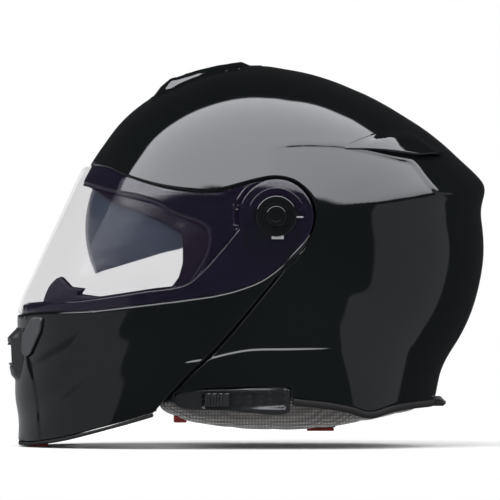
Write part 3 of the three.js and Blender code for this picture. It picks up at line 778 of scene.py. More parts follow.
def brushed(name, base, rough=0.32):
    n = Nodes(name)
    mp = n.new("ShaderNodeMapping")
    mp.inputs["Scale"].default_value = (30, 900, 900)
    n.link(n.co, mp.inputs["Vector"])
    f = n.noise(1, 3, co=mp.outputs[0])
    n.link(n.colour(f, [x * 0.75 for x in base], base, 0.3, 0.7), n.b.inputs["Base Color"])
    n.link(n.ramp(f, rough - 0.08, rough + 0.1, 0.3, 0.7), n.b.inputs["Roughness"])
    n.link(n.bump(f, 0.00004, 0.5), n.b.inputs["Normal"])
    n.b.inputs["Metallic"].default_value = 1.0
    return n.m


MATS = {
    "gloss_black": lacquer("gloss_black_lacquer"),
    "satin_black": plastic("satin_black_plastic", (0.012, 0.013, 0.014), 0.36, 900, 0.00005),
    "dark": plastic("dark_moulding", (0.006, 0.0065, 0.007), 0.5, 700, 0.00008),
    "grey": plastic("grey_grained_plastic", (0.035, 0.037, 0.04), 0.5, 500, 0.00018),
    "rubber": plastic("matte_rubber", (0.009, 0.009, 0.0095), 0.74, 350, 0.0001, 0.22),
    "dark_gloss": plastic("dark_gloss_moulding", (0.003, 0.0034, 0.0038), 0.13, 500, 0.00002, 0.5, 0.03),
    "foam": bead_foam("bead_foam"),
    "fabric": knit("knitted_mesh", (0.02, 0.02, 0.022), 0.6),
    # pale grey for the shield ear's moulded marks: a painted highlight
    "mark": plastic("pale_grey_mark_painted_highlight", (0.2, 0.2, 0.21), 0.35, 600, 0.00003),
    "lining": plastic("frame_lining", (0.008, 0.0065, 0.0065), 0.22, 500, 0.00004),
    # grey neck cloth, its base colour partly lightened as painted sheen on top of the real sheen setting
    "neck_cloth": knit("neck_cloth_grey_and_painted_sheen", (0.085, 0.08, 0.077), 0.42, 0.5, 0.6),
    "red_fabric": woven("red_ribbon", (0.3, 0.035, 0.03)),
    "red_plastic": plastic("red_satin_plastic", (0.36, 0.02, 0.014), 0.4, 600, 0.00006),
    "webbing": woven("woven_webbing", (0.014, 0.014, 0.016)),
    "steel": brushed("brushed_steel", (0.5, 0.5, 0.52)),
    "clear": clear_sheet("clear_violet_sheet", None, (0.026, 0.014, 0.056), 0.098, 0.02, 0.1),
    "smoke": clear_sheet("smoke_sheet", None, (0.040, 0.058, 0.085), 0.60, 0.04, 0.12),
}
SLOT_OF = {s["node"]: s["material_slot"] for s in frame["record"]["subparts"]}


def paint(ob, key):
    ob.data.materials.clear()
    ob.data.materials.append(MATS[key])


def piece(ob, body, *nodes, key=None):
    key = key or SLOT_OF[nodes[0]]
    paint(ob, key)
    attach(ob, body)
    if nodes:
        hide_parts(*nodes)
    return ob


for name, ob in frame["nodes"].items():
    paint(ob, SLOT_OF[name])

# ------------------------------------------------------------------ studio
scene = bpy.context.scene
scene.view_settings.view_transform = "Standard"
scene.view_settings.look = "None"
cam_data = bpy.data.cameras.new("camera")
cam_data.sensor_width = 36
cam_data.lens = 36 * 6 / 0.370
cam_data.clip_end = 50
cam = bpy.data.objects.new("camera", cam_data)
scene.collection.objects.link(cam)
cam.location = (0.00296, -6, 0.14504)
cam.rotation_euler = (math.pi / 2, 0, 0)
scene.camera = cam

world = bpy.data.worlds.new("studio")
scene.world = world
world.use_nodes = True
wt = world.node_tree
wt.nodes.clear()


def wnode(kind, **kw):
    n = wt.nodes.new(kind)
    for k, v in kw.items():
        setattr(n, k, v)
    return n


def wmath(op, a, b=None, clamp=False):
    n = wnode("ShaderNodeMath", operation=op, use_clamp=clamp)
    for i, x in enumerate((a, b)):
        if x is None:
            continue
        if isinstance(x, (int, float)):
            n.inputs[i].default_value = x
        else:
            wt.links.new(x, n.inputs[i])
    return n.outputs[0]


def edge(x, at, soft):
    """0 below, 1 above"""
    n = wnode("ShaderNodeMapRange", interpolation_type="SMOOTHSTEP")
    wt.links.new(x, n.inputs[0]) if not isinstance(x, (int, float)) else None
    n.inputs[1].default_value, n.inputs[2].default_value = at - soft, at + soft
    return n.outputs[0]


wco = wnode("ShaderNodeTexCoord")
sep = wnode("ShaderNodeSeparateXYZ")
wt.links.new(wco.outputs["Generated"], sep.inputs[0])
dx, dy, dz = sep.outputs
zz = wmath("MAXIMUM", dz, 0.02)
px, py = wmath("DIVIDE", dx, zz), wmath("DIVIDE", dy, zz)
# an overhead softbox: a flat panel with its far right corner cut
far = wmath("ADD", 0.335, wmath("MULTIPLY", edge(px, 0.22, 0.2), 0.145))
far = wmath("SUBTRACT", far, wmath("MULTIPLY", wmath("MAXIMUM", wmath("SUBTRACT", px, 0.5), 0.0), 0.36))
m_far = edge(wmath("SUBTRACT", far, py), 0.0, 0.02)
m_near = edge(dz, 0.40, 0.03)
m_right = edge(wmath("SUBTRACT", 2.1, px), 0.0, 0.06)
box = wmath("MULTIPLY", wmath("MULTIPLY", m_far, m_near), m_right)
level = wmath("SUBTRACT", 6.4, wmath("MULTIPLY", wmath("MAXIMUM", px, 0.0), 1.4))
gloss = wmath("MULTIPLY", box, level)
# a dim panel low on the right, and one low on the left
az = wmath("ARCTAN2", dx, wmath("MULTIPLY", dy, -1))
low = wmath("MULTIPLY", edge(az, 0.76, 0.02), edge(wmath("SUBTRACT", 1.78, az), 0.0, 0.02))
low = wmath("MULTIPLY", low, edge(wmath("SUBTRACT", 0.22, dz), 0.0, 0.03))
lowl = wmath("MULTIPLY", edge(wmath("MULTIPLY", az, -1), 0.85, 0.02), edge(wmath("SUBTRACT", 0.06, dz), 0.0, 0.02))
gloss = wmath("ADD", gloss, wmath("MULTIPLY", low, 0.42))
gloss = wmath("ADD", gloss, wmath("MULTIPLY", lowl, 0.35))
gloss = wmath("ADD", gloss, 0.03)
lp = wnode("ShaderNodeLightPath")
bg_g, bg_d, bg_c = wnode("ShaderNodeBackground"), wnode("ShaderNodeBackground"), wnode("ShaderNodeBackground")
wt.links.new(gloss, bg_g.inputs["Strength"])
bg_d.inputs["Strength"].default_value = 1.3
bg_c.inputs["Strength"].default_value = 1.0
for b in (bg_g, bg_d, bg_c):
    b.inputs["Color"].default_value = (1, 1, 1, 1)
bg_g.inputs["Color"].default_value = (0.94, 0.95, 1.0, 1)
mix1, mix2 = wnode("ShaderNodeMixShader"), wnode("ShaderNodeMixShader")
wt.links.new(lp.outputs["Is Diffuse Ray"], mix1.inputs[0])
wt.links.new(bg_c.outputs[0], mix1.inputs[1])
wt.links.new(bg_d.outputs[0], mix1.inputs[2])
wt.links.new(lp.outputs["Is Glossy Ray"], mix2.inputs[0])
wt.links.new(mix1.outputs[0], mix2.inputs[1])
wt.links.new(bg_g.outputs[0], mix2.inputs[2])
wout = wnode("ShaderNodeOutputWorld")
wt.links.new(mix2.outputs[0], wout.inputs[0])

fm = Nodes("pale_floor")
fm.link(fm.colour(fm.noise(3, 2), (0.86, 0.86, 0.86), (0.9, 0.9, 0.9), 0.3, 0.7), fm.b.inputs["Base Color"])
fm.b.inputs["Roughness"].default_value = 0.9
fm.b.inputs["Specular IOR Level"].default_value = 0.0
ring = [[800 * math.cos(2 * math.pi * i / 96), 800 * math.sin(2 * math.pi * i / 96), 0] for i in range(96)]
floor = new_object("floor", ring, [list(range(96))], smooth=False)
floor.data.materials.append(fm.m)
geo, clear_bsdf, mixer = fm.new("ShaderNodeNewGeometry"), fm.new("ShaderNodeBsdfTransparent"), fm.new("ShaderNodeMixShader")
fm.link(geo.outputs["Backfacing"], mixer.inputs[0])
fm.link(fm.b.outputs[0], mixer.inputs[1])
fm.link(clear_bsdf.outputs[0], mixer.inputs[2])
fm.link(mixer.outputs[0], fm.t.nodes["Material Output"].inputs[0])
floor.visible_glossy = False
sun_light = bpy.data.lights.new("soft_fill", "AREA")
sun_light.shape = "DISK"
sun_light.size = 1.6
sun_light.energy = 22
sun_ob = bpy.data.objects.new("soft_fill", sun_light)
scene.collection.objects.link(sun_ob)
sun_ob.location = (-0.6, -1.2, 1.9)
sun_ob.rotation_euler = (Vector((0, 0, 0.1)) - sun_ob.location).to_track_quat("-Z", "Y").to_euler()
sun_ob.visible_glossy = False


# ------------------------------------------------------------------ outlines in the side plane
SEAM = [[-113.2, 207.9], [-101.4, 205.7], [-90.7, 200.5], [-64.4, 192.1], [-39.2, 188], [-22.9, 187.2], [-4.4, 192],
        [7.4, 195.4], [21.5, 197.9], [34.5, 195.4], [43.7, 188.3], [49.2, 179.8], [50.7, 170.2], [48.2, 158.4], [42, 146.3],
        [33.3, 138], [25.9, 128.2], [-17.8, 75.6], [-28.9, 64.5], [-41.4, 52.7], [-58.1, 34]]
EYEPORT = [[-125.8, 196.1], [-115.4, 193.9], [-98.4, 189.4], [-66.6, 181.3], [-52.9, 173.9], [-31.1, 165.4],
           [-25.9, 160.6], [-25.2, 147.3], [-29.6, 135.4], [-35.5, 125.8], [-45.9, 107.3], [-61.4, 67.3], [-74, 34]]
BOTTOM = [[-50.3, 34], [-13.3, 34], [30.3, 37.7], [40, 36.6], [62.2, 34], [77, 31.1], [90.3, 27.4], [106.6, 31.4], [121.4, 33.7], [139.9, 34.8]]
NOTCH = [[-51.8, 34], [-51.8, 40.3], [-28.9, 44.4], [-13.3, 45.1], [12.6, 45.9], [32.6, 44.8], [32.6, 37.7]]
CHIN_TOP = [[-189.4, 102.9], [-168, 104.3], [-148.7, 105.8], [-119.9, 108], [-103.2, 110.3], [-74.7, 114.7], [-43.7, 119.9],
            [-31.8, 129.1], [-15.5, 147.3], [-4.4, 161]]
CHIN_SEAM = [[41, 149.5], [32.2, 139.9], [24.8, 129.5], [-19.2, 77], [-30.3, 65.9], [-42.9, 54], [-67.3, 26.6]]
CHIN_BOTTOM = [[-88.1, 20.3], [-114.7, 13.3], [-142.1, 6.7], [-168, 3.7], [-189.4, 3]]
SH_TOP = [[-137.6, 208.7], [-120.1, 206.9], [-113.2, 207.2], [-101.4, 205], [-90.7, 199.8], [-64.4, 191.4], [-39.2, 187.2],
          [-22.9, 186.5], [-4.4, 191.3], [7.4, 194.6]]
SH_BOT = [[47, 158.4], [41.1, 146.9], [27.4, 135.4], [11.1, 123.6], [-5.9, 116.9], [-20.7, 113.2], [-48.1, 109.2], [-81.4, 105.1],
          [-114.7, 101.4], [-148.7, 99.9], [-168, 98], [-189.4, 96.9]]
WING = [[71.8, 221.3], [78, 226.2], [88.1, 230.2], [96.5, 232.8], [104.3, 234.6], [113.2, 235.5], [123.6, 234.8], [130.2, 229.4],
        [147.3, 218.3], [143.6, 216.8], [125.1, 215.3], [108, 217.6], [90.3, 220.5]]
PLATE = [[-158.4, 95.2], [-150.2, 95.2], [-151.7, 85.1], [-159.4, 68.1], [-163.2, 66.2], [-165.8, 70.3], [-165, 82.9]]
seam, eyeport, bottom = catmull(SEAM), catmull(EYEPORT), catmull(BOTTOM)
chin_top, chin_seam, chin_bottom = catmull(CHIN_TOP), catmull(CHIN_SEAM), catmull(CHIN_BOTTOM)
sh_top, sh_bot = catmull(SH_TOP), catmull(SH_BOT)


def px2mm(p):
    return [[(x - 246) * 0.74, (446 - y) * 0.74] for x, y in p]


def rounded(points, r=2.0, step=1.0):
    """a closed outline of straight sides with eased corners"""
    p = np.array(points, float)
    n = len(p)
    out = []
    for i in range(n):
        a, b, c = p[i - 1], p[i], p[(i + 1) % n]
        la, lc = np.linalg.norm(a - b), np.linalg.norm(c - b)
        k = min(r, la * 0.45, lc * 0.45)
        p0, p2 = b + (a - b) / la * k, b + (c - b) / lc * k
        for t in np.linspace(0, 1, 5):
            out.append((1 - t) ** 2 * p0 + 2 * t * (1 - t) * b + t * t * p2)
    return np.array(out)


def line_field(points):
    """signed distance to an open line in the side plane; positive on its left"""
    P = np.array(points, float)

    def f(x, z):
        q = np.stack([np.ravel(x), np.ravel(z)], -1)
        a, b = P[:-1], P[1:]
        d = b - a
        L = (d * d).sum(-1)
        best = np.full(len(q), 1e9)
        sg = np.zeros(len(q))
        along = np.zeros(len(q))
        for i in range(len(a)):
            t = np.clip(((q - a[i]) @ d[i]) / L[i], 0, 1)
            v = q - (a[i] + t[:, None] * d[i])
            dist = np.hypot(v[:, 0], v[:, 1])
            s = np.sign(d[i, 0] * v[:, 1] - d[i, 1] * v[:, 0])
            m = dist < best
            best[m], sg[m], along[m] = dist[m], s[m], (i + t[m]) / len(a)
        return (best * np.where(sg == 0, 1, sg)).reshape(np.shape(x)), along.reshape(np.shape(x))
    return f


def smoothstep(x, a, b):
    t = np.clip((x - a) / (b - a), 0, 1)
    return t * t * (3 - 2 * t)


# --- raised and sunk lines of the shell
crease = line_field(catmull(px2mm([(262, 151), (296, 147.6), (322, 147.6), (343, 149), (368, 154), (397, 160.7), (410, 164), (422, 180), (434, 193), (448, 196.4), (464, 196), (476, 191)]), 4))


low_crease = line_field(catmull(px2mm([(150, 374), (168, 367), (188, 360), (207, 357), (227, 352), (249, 348), (291, 347), (345, 346), (380, 345)]), 4))


def shell_bump(x, z):
    d, s = crease(x, z)
    fade = smoothstep(s, 0.0, 0.12) * (1 - smoothstep(s, 0.95, 1.0))
    h = -(0.45 + 0.55 * s) * smoothstep(-d, -0.9, 1.3) * (1 - smoothstep(-d, 8.0, 60.0)) * fade
    h = h + 0.35 * (1 - smoothstep(np.abs(d - 2.5), 0, 4.5)) * fade
    c, q = low_crease(x, z)
    h = h + 0.95 * smoothstep(-c, -0.9, 1.1) * (1 - smoothstep(-c, 4.0, 30.0)) * (1 - smoothstep(q, 0.62, 0.98))
    return h


def along(points, offsets=(-2.4, -1.6, -1.0, -0.5, 0.0, 0.5, 1.0, 1.6, 2.4)):
    base = catmull(points, 1.3)
    return [shift(base, o) for o in offsets]


UP_CREASE = px2mm([(262, 151), (296, 147.6), (322, 147.6), (343, 149), (368, 154), (397, 160.7), (410, 164), (422, 180), (434, 193), (448, 196.4), (464, 196), (476, 191)])
LOW_CREASE = px2mm([(150, 374), (168, 367), (188, 360), (207, 357), (227, 352), (249, 348), (291, 347), (345, 346)])
shell_rows = along(UP_CREASE) + along(LOW_CREASE)
S_OUT = Surf(SHELL, 0, 126.8, bump=shell_bump)
S_REC = Surf(SHELL, 1.2, 121)

# ---- outer shell
shell = Soup()
over = np.array([[230, 34.8], [230, 330], [-230, 330], [-230, 207.9]])
left_out = join(seam, NOTCH, bottom[bottom[:, 0] > 33.5], over)
right_out = join(seam, bottom, over)
panel(shell, left_out, S_OUT, 5.6, fillet=1.3, spacing=3.2, sides="left", rings=shell_rows)
panel(shell, right_out, S_OUT, 5.6, fillet=1.3, spacing=3.2, sides="right", rings=shell_rows)
pocket = arc(PIVOT, 28.4, 0, 354, 2.0)
seam_back = shift(seam, 5)
rec_out = join([[-230, 196.1]], eyeport, [[-58.1, 34], [-50, 34]], seam_back[::-1][3:], [[-113, 212], [-230, 212]])
panel(shell, rec_out, S_REC, 5.0, fillet=0.8, spacing=4.5, holes=[pocket])
for sd in (-1, 1):
    lathe_y(shell, [(28.4, 121.2), (28.4, 118.0), (5.7, 118.0), (5.7, 112.0), (31.4, 112.0), (31.4, 120.6)], PIVOT, sd, 72)
piece(shell.make("outer_shell_skin"), "shell", "outer_shell")

# ---- eye opening seal
seal = Soup()
P, N = across(Surf(SHELL, 2.6, 119.4), shift(eyeport, -1.2)[::-1], 0)
sweep(seal, P, N, [(x, y) for x, y in oval(1.2, 0.75, 12)])
piece(seal.make("eyeport_seal_lip"), "shell", "eyeport_seal")

# ---- lining of the eye opening's frame, down to the sun visor
FRONT = [[-128, 196], [-114.3, 190.5], [-98.4, 180], [-75, 171.5], [-47.1, 156.8], [-46.1, 147.3], [-46.1, 135.4], [-49.1, 125.1], [-57.5, 112], [-67, 66]]
front = catmull(FRONT)
lining = Soup()
lin_out = join(front, shift(eyeport, 3.0)[::-1][8:], [[-128, 200], [-230, 200], [-230, 196]])
panel(lining, lin_out, Surf(SHELL, 6.3, 115.4), 1.6, fillet=0.7, spacing=3.6)
piece(lining.make("eyeport_frame_lining"), "shell", key="lining")

# ---- bottom edge trim
trim = Soup()
tp = join(np.array([[-58, 34.0]]), bottom)
prof = [(-2.6, -4.8), (-0.2, -5.4), (2.0, -4.8), (2.4, -2.5), (2.3, -0.4), (1.2, 0.9), (-0.6, 1.1), (-2.0, 0.8), (-2.7, 0.1), (-2.9, -2.0)]
lowline = shift(join(bottom[bottom[:, 0] > 33.5]), -2.9)
full = shift(bottom, -2.9)
full = np.concatenate([[[-60, 31.0], [-55, 31.0]], full])
for sd, ln in ((-1, lowline), (1, full)):
    ext = np.concatenate([ln, [[146, 31.9], [170, 32.0], [200, 32.0]]])
    u, v, rho = Surf(SHELL, 0, 126.8).dom(ext[:, 0], ext[:, 1])
    cut = np.where(rho > 0.99999)[0]
    if len(cut):
        u, v = u[:cut[0] + 1], v[:cut[0] + 1]
    s0 = Surf(SHELL, 0, 126.8)
    P, N = s0.at(u, v), s0.normal(u, v)
    if np.mean(N[:, 1]) > 0:
        N = -N
    P[-1, 1] = 0
    N[-1, 1] = 0
    m = np.array([1, -sd, 1.0])
    sweep(trim, P * m, N * m, prof)
piece(trim.make("neck_edge_bead"), "shell", "neck_edge_trim")

# ---- chin bar
chin_crease = line_field(catmull(px2mm([(168, 367), (188, 360), (207, 357), (227, 352), (249, 348), (291, 347), (345, 346), (380, 345)]), 4))
mid_edge = line_field(catmull(px2mm([(27, 335), (29.5, 356), (37.4, 388), (42, 433)]), 4))
side_a = line_field(catmull(px2mm([(99.7, 313), (74.8, 347), (53, 390), (48, 400)]), 4))
side_b = line_field(catmull(px2mm([(60, 404), (68, 402), (102, 389), (122, 381), (155, 365)]), 4))


def chin_bump(x, z):
    d, s = chin_crease(x, z)
    h = 0.95 * smoothstep(-d, -0.9, 1.1) * (1 - smoothstep(-d, 4.0, 30.0)) * smoothstep(s, 0.0, 0.16)
    d, s = mid_edge(x, z)
    h = h + 0.7 * smoothstep(-d, -1.2, 1.2) * smoothstep(s, 0.02, 0.15)
    d, s = side_a(x, z)
    h = h - 0.75 * smoothstep(d, -2.0, 5.0) * (1 - smoothstep(d, 6.0, 34.0)) * smoothstep(s, 0.0, 0.3) * (1 - smoothstep(s, 0.5, 1))
    return h


V_OUT = Surf(SHIELD, 0, 128.6, bump=chin_bump)


def arm_inner(x, z, y):
    r = np.hypot(x - PIVOT[0], z - PIVOT[1])
    y = np.where(r < 39, np.maximum(y, 123.5), y)
    return np.where((r >= 39) & (r < 47), np.maximum(y, 122.2), y)


V_REC = Surf(SHIELD, 3.4, 127.1)
V_REC_IN = Surf(SHIELD, 7.9, 122.3, flat=arm_inner)
chin = Soup()
bot_low = shift(sh_bot, 0.8)
k0 = 0
flush = join(chin_seam, chin_bottom, [[-230, 3], [-230, 96]], bot_low[::-1][:-4], [[46.5, 156.0]])
chin_rows = (along(LOW_CREASE) + along(px2mm([(27, 335), (29.5, 356), (37.4, 388), (42, 433)]))
             + along(px2mm([(99.7, 313), (74.8, 347), (53, 390), (48, 400)]), (-3, -1.5, 0, 1.5, 3, 4.5)) + along(px2mm([(60, 404), (68, 402), (102, 389), (122, 381), (155, 365)]), (-3, -1.5, 0, 1.5, 3, 4.5)))
panel(chin, flush, V_OUT, 4.8, fillet=1.2, spacing=3.0, rings=chin_rows)
# the air way behind the scoop
keep_f, keep_n = [], []
k = 0
cv = np.array(chin.v)
for f in chin.f:
    q = cv[f]
    m = len(f)
    gone = (np.abs(q[:, 1]) < 26.5).all() and (q[:, 2] > 57.5).all() and (q[:, 2] < 78.5).all() and (q[:, 0] < -140).all()
    if not gone:
        keep_f.append(f)
        keep_n += chin.n[k:k + m]
    k += m
chin.f, chin.n = keep_f, keep_n
bot_lower = shift(sh_bot, 4.6)
arm_out = join([[-230, 103.5]], chin_top, arc(PIVOT, 27, 162, -38), bot_lower[(bot_lower[:, 0] < 38)], [[-230, 92]])
panel(chin, arm_out, V_REC, 4.5, fillet=0.9, spacing=3.6, inner=V_REC_IN, holes=())
for sd in (-1, 1):
    lathe_y(chin, [(26.8, 121.2), (26.8, 123.7), (26.3, 124.2), (6.2, 124.2), (5.7, 123.8), (5.7, 121.2)], PIVOT, sd, 72)
piece(chin.make("chin_bar_skin"), "chin_bar_body", "chin_bar")

rim = Soup()
ct = Surf(SHIELD, 0, 128.6)
cb = shift(catmull(CHIN_BOTTOM + [[-230, 3]]), 1.6)
cb = np.concatenate([shift(catmull([[-67.3, 26.6], [-88.1, 20.3]]), 1.6)[1:-1], cb])
P, N = across(ct, cb, 0)
sweep(rim, P, N, [(-1.0, -4.6), (0.6, -4.9), (1.2, -3.5), (1.25, -0.8), (0.5, 0.45), (-0.6, 0.5), (-1.15, -0.2), (-1.25, -3.0)])
piece(rim.make("chin_edge_bead"), "chin_bar_body", "chin_edge_trim")


# ---- shield
def ear(base):
    def f(x, z, y):
        r = np.hypot(x - PIVOT[0], z - PIVOT[1])
        return base + (y - base) * smoothstep(r, 27.4, 50)
    return f


V_SH = Surf(SHIELD, 0, 130.5, flat=ear(128.6))
V_SH_IN = Surf(SHIELD, 2.2, 128.3, flat=ear(126.4))
sh = Soup()
sh_out = join(sh_top, arc(PIVOT, 27.3, 110, -24), sh_bot, [[-230, 96], [-230, 208.7]])
panel(sh, sh_out, V_SH, 2.2, fillet=1.2, spacing=4.0, holes=[arc(PIVOT, 15.4, 0, 354, 1.5)], inner=V_SH_IN)
shield = piece(sh.make("shield_sheet"), "shield_body", "shield")

# ---- sun visor
sun_curve = lambda a: np.full(np.shape(a), 81.2)
B_OUT = Surf(sun_curve, 0, 95.4, centre=SUN, pt=2.05, py=2.2)
sv = Soup()
sun_out = join(arc(SUN, 13, 80, -60), catmull([[-46.2, 150], [-47.1, 147], [-62, 142.9], [-80, 137.4], [-97, 132.2], [-109, 128.4], [-113, 126], [-122, 118]]),
               [[-140, 140], [-140, 200], [-121, 231]])
panel(sv, sun_out, B_OUT, 2.0, fillet=0.9, spacing=4.0, holes=[arc(SUN, 3.5, 0, 340, 0.8)])
piece(sv.make("sun_visor_sheet"), "sun_visor_body", "sun_visor")

# ---- pivots
for tag, sd in (("l", -1), ("r", 1)):
    h = Soup()
    lathe_y(h, [(14.8, 124.6), (14.8, 128.9), (14.3, 129.4), (11.0, 129.4), (10.7, 129.1), (10.2, 129.1), (9.9, 129.4), (7.9, 129.4),
                (7.7, 128.9), (5.7, 128.9), (5.7, 124.6)], PIVOT, sd, 96)
    piece(h.make("shield_hub_cap_" + tag), "chin_bar_body", "shield_hub_" + tag, key="dark_gloss")
    b = Soup()
    lathe_y(b, [(0.01, 112), (5.0, 112), (5.0, 129.8), (7.1, 129.8), (7.4, 130.1), (7.4, 130.7), (7.0, 131.0), (4.2, 131.0), (3.9, 130.3), (0.01, 130.3)], PIVOT, sd, 72)
    piece(b.make("pivot_bolt_cap_" + tag), "shell", "pivot_bolt_" + tag, key="dark_gloss")
    p = Soup()
    lathe_y(p, [(5.7, 118.4), (25.1, 118.4), (25.6, 118.9), (25.6, 120.4), (25.1, 120.8), (19, 120.8), (18.6, 120.4), (12.4, 120.4), (12, 120.8), (5.7, 120.8)], PIVOT, sd, 72)
    piece(p.make("pivot_plate_" + tag), "shell", "pivot_base_plate_" + tag, key="dark_gloss")
    v = Soup()
    lathe_y(v, [(16.2, 124.6), (20.4, 124.6), (20.7, 124.9), (20.7, 125.7), (20.4, 126), (16.5, 126), (16.2, 125.7)], PIVOT, sd, 64, 14, 324)
    piece(v.make("shield_lever_ring_" + tag), "lever_%s_body" % tag, "shield_release_lever_" + tag, key="dark_gloss")

# ------------------------------------------------------------------ pieces set on the shell
_A = np.linspace(math.radians(20), math.radians(165), 900)
_F = np.linspace(math.radians(120), math.radians(262), 900)


def sect(curve, dr, w, y):
    return (1 - np.clip(np.abs(y) / w, 0, 0.999) ** PY) ** (1 / PT) * 1.0


def top_z(x, y, curve=SHELL, dr=0.0, w=126.8):
    t = sect(curve, dr, w, y)
    R = (curve(_A) - dr) * t
    X, Z = C[0] + R * np.cos(_A), C[1] + R * np.sin(_A)
    o = np.argsort(X)
    return np.interp(x, X[o], Z[o])


def front_x(y, z, curve=SHIELD, dr=0.0, w=128.6):
    t = sect(curve, dr, w, y)
    R = (curve(_F) - dr) * t
    X, Z = C[0] + R * np.cos(_F), C[1] + R * np.sin(_F)
    o = np.argsort(Z)
    return np.interp(z, Z[o], X[o])


def relief(name, us, vs, top, low, keep=None, auto=35):
    """A closed block over a grid: top and low give the two surfaces at (u, v); keep drops cells."""
    nu, nv = len(us), len(vs)
    T = np.array([[top(u, v) for v in vs] for u in us])
    L = np.array([[low(u, v) for v in vs] for u in us])
    verts = np.concatenate([T.reshape(-1, 3), L.reshape(-1, 3)])
    n = nu * nv
    ok = np.ones((nu - 1, nv - 1), bool)
    if keep:
        for i in range(nu - 1):
            for j in range(nv - 1):
                ok[i, j] = keep((us[i] + us[i + 1]) / 2, (vs[j] + vs[j + 1]) / 2)
    faces = []
    idx = lambda i, j: i * nv + j
    for i in range(nu - 1):
        for j in range(nv - 1):
            if not ok[i, j]:
                continue
            a, b, c, d = idx(i, j), idx(i + 1, j), idx(i + 1, j + 1), idx(i, j + 1)
            faces += [[a, b, c, d], [a + n, d + n, c + n, b + n]]
            for (di, dj), (p, q) in (((-1, 0), (d, a)), ((1, 0), (b, c)), ((0, -1), (a, b)), ((0, 1), (c, d))):
                ii, jj = i + di, j + dj
                if not (0 <= ii < nu - 1 and 0 <= jj < nv - 1) or not ok[ii, jj]:
                    faces.append([q, p, p + n, q + n])
    ob = new_object(name, verts, faces)
    import bmesh
    bm = bmesh.new()
    bm.from_mesh(ob.data)
    bmesh.ops.remove_doubles(bm, verts=bm.verts, dist=1e-6)
    loose = [v for v in bm.verts if not v.link_faces]
    bmesh.ops.delete(bm, geom=loose, context="VERTS")
    bmesh.ops.recalc_face_normals(bm, faces=bm.faces)
    for e in bm.edges:
        if len(e.link_faces) == 2 and e.calc_face_angle(0) > math.radians(auto):
            e.smooth = False
    bm.to_mesh(ob.data)
    bm.free()
    return ob


def rows(a, b, step, extra=()):
    n = max(2, int(abs(b - a) / step))
    return np.array(sorted(set(np.round(np.concatenate([np.linspace(a, b, n + 1), list(extra)]), 4))))


# ---- brow vent: a low hood with two raised cheeks, open towards the front, and the slider in its channel
VT = np.array([[-71, 250.1], [-68.8, 258.3], [-63, 266], [-55.7, 272.1], [-51.1, 273.2], [-36.3, 278.2], [-20.7, 281.9], [-3.4, 284.3], [0.6, 282.6], [11.8, 277.6]])


def vent_top(x, y):
    base = top_z(x, y)
    H = max(np.interp(x, VT[:, 0], VT[:, 1]) - top_z(x, 0), 0.35)
    w = 1 - smoothstep(abs(y), 19.5, 29.4)
    cheek = 1 - 0.34 * (1 - smoothstep(abs(y), 9.8, 11.6)) * smoothstep(x, -52, -49) * (1 - smoothstep(x, -14.5, -12))
    rib = 0.4 * (1 - smoothstep(abs(abs(y) - 17.5), 0.3, 1.4)) * smoothstep(x, -60, -45) * (1 - smoothstep(x, -8, 0))
    z = base + H * w * cheek + rib * w
    if abs(y) < 9.8 and -49 < x < -13.5:
        z = min(z, float(np.interp(x, [-49, -13.5], [270.0, 279.7])) - 0.1)
    return [x, y, min(z, 284.45)]


ve = relief("brow_vent_hood", rows(-70.8, 11.6, 1.3, (-52, -49, -13.5, -12)), rows(-29.6, 29.6, 1.3, (-11.6, -9.8, 9.8, 11.6)),
            vent_top, lambda x, y: [x, y, top_z(x, y) + 0.12])
piece(ve, "shell", "brow_vent_base")
sl = relief("brow_vent_slide", rows(-48.2, -31.7, 0.5), rows(-9.0, 9.0, 0.75),
            lambda x, y: [x, y, np.interp(x, [-48.3, -45.5, -40, -36, -32.3, -31.6], [273.0, 275.0, 276.4, 277.3, 278.3, 275.4]) - 0.5 * smoothstep(abs(y), 6.5, 9)
                          + (0.35 * (0.5 + 0.5 * math.cos((x + 44) * 2 * math.pi / 2.1)) if -44.5 < x < -34.5 and abs(y) < 7 else 0)],
            lambda x, y: [x, y, np.interp(x, [-48.2, -31.7], [270.9, 275.25])])
piece(sl, "brow_vent_body", "brow_vent_slider")


# ---- rear vent covers: fins that grow out of the shell
def fin(x, z):
    up = np.interp(x, [71.8, 76.7, 88.1, 104.3, 123.6, 130.2, 147.3], [221.3, 225.5, 230.2, 234.6, 234.8, 229.4, 218.3])
    return -4.35 * (1 - smoothstep(x, 74, 112)) - 2.6 * smoothstep(z - (up - 7.5), 0, 7.5) * smoothstep(x, 80, 110)


wg = Soup()
S_W = Surf(SHELL, -4.8, 131.6, bump=fin)
panel(wg, rounded(WING, 4.5), S_W, 4.0, fillet=1.1, spacing=2.0, sides="left", inner=Surf(SHELL, -0.3, 127.1))
piece(wg.make("rear_fin_l"), "shell", "rear_vent_cover_l")
wg = Soup()
panel(wg, rounded(WING, 4.5), S_W, 4.0, fillet=1.1, spacing=2.0, sides="right", inner=Surf(SHELL, -0.3, 127.1))
piece(wg.make("rear_fin_r"), "shell", "rear_vent_cover_r")

# ---- chin scoop, its flap and the side plates
SC = np.array([[47, -168.0], [50, -171.2], [52.5, -173.6], [62.5, -175.7], [76, -176.4], [80.4, -176.2], [84.5, -172.4], [88, -168.6]])


def scoop_out(y, z):
    base = front_x(y, z)
    t = max(front_x(0, z) - np.interp(z, SC[:, 0], SC[:, 1]), 0.6)
    w = 1 - smoothstep(abs(y), 22.0, 33.4)
    lip = 0.9 * (1 - smoothstep(max(abs(y) - 23, abs(z - 68.25) - 6.75), 0.3, 2.4))
    x = base - 0.5 - (t - 0.4) * w * (1 - 0.12 * (abs(y) / 34) ** 2) - lip * 0.0 + (0.8 * (1 - smoothstep(abs(abs(z - 68.25) - 8.6), 0, 1.0)) * (1 - smoothstep(abs(y), 24, 27)))
    return [max(x, -176.85), y, z]


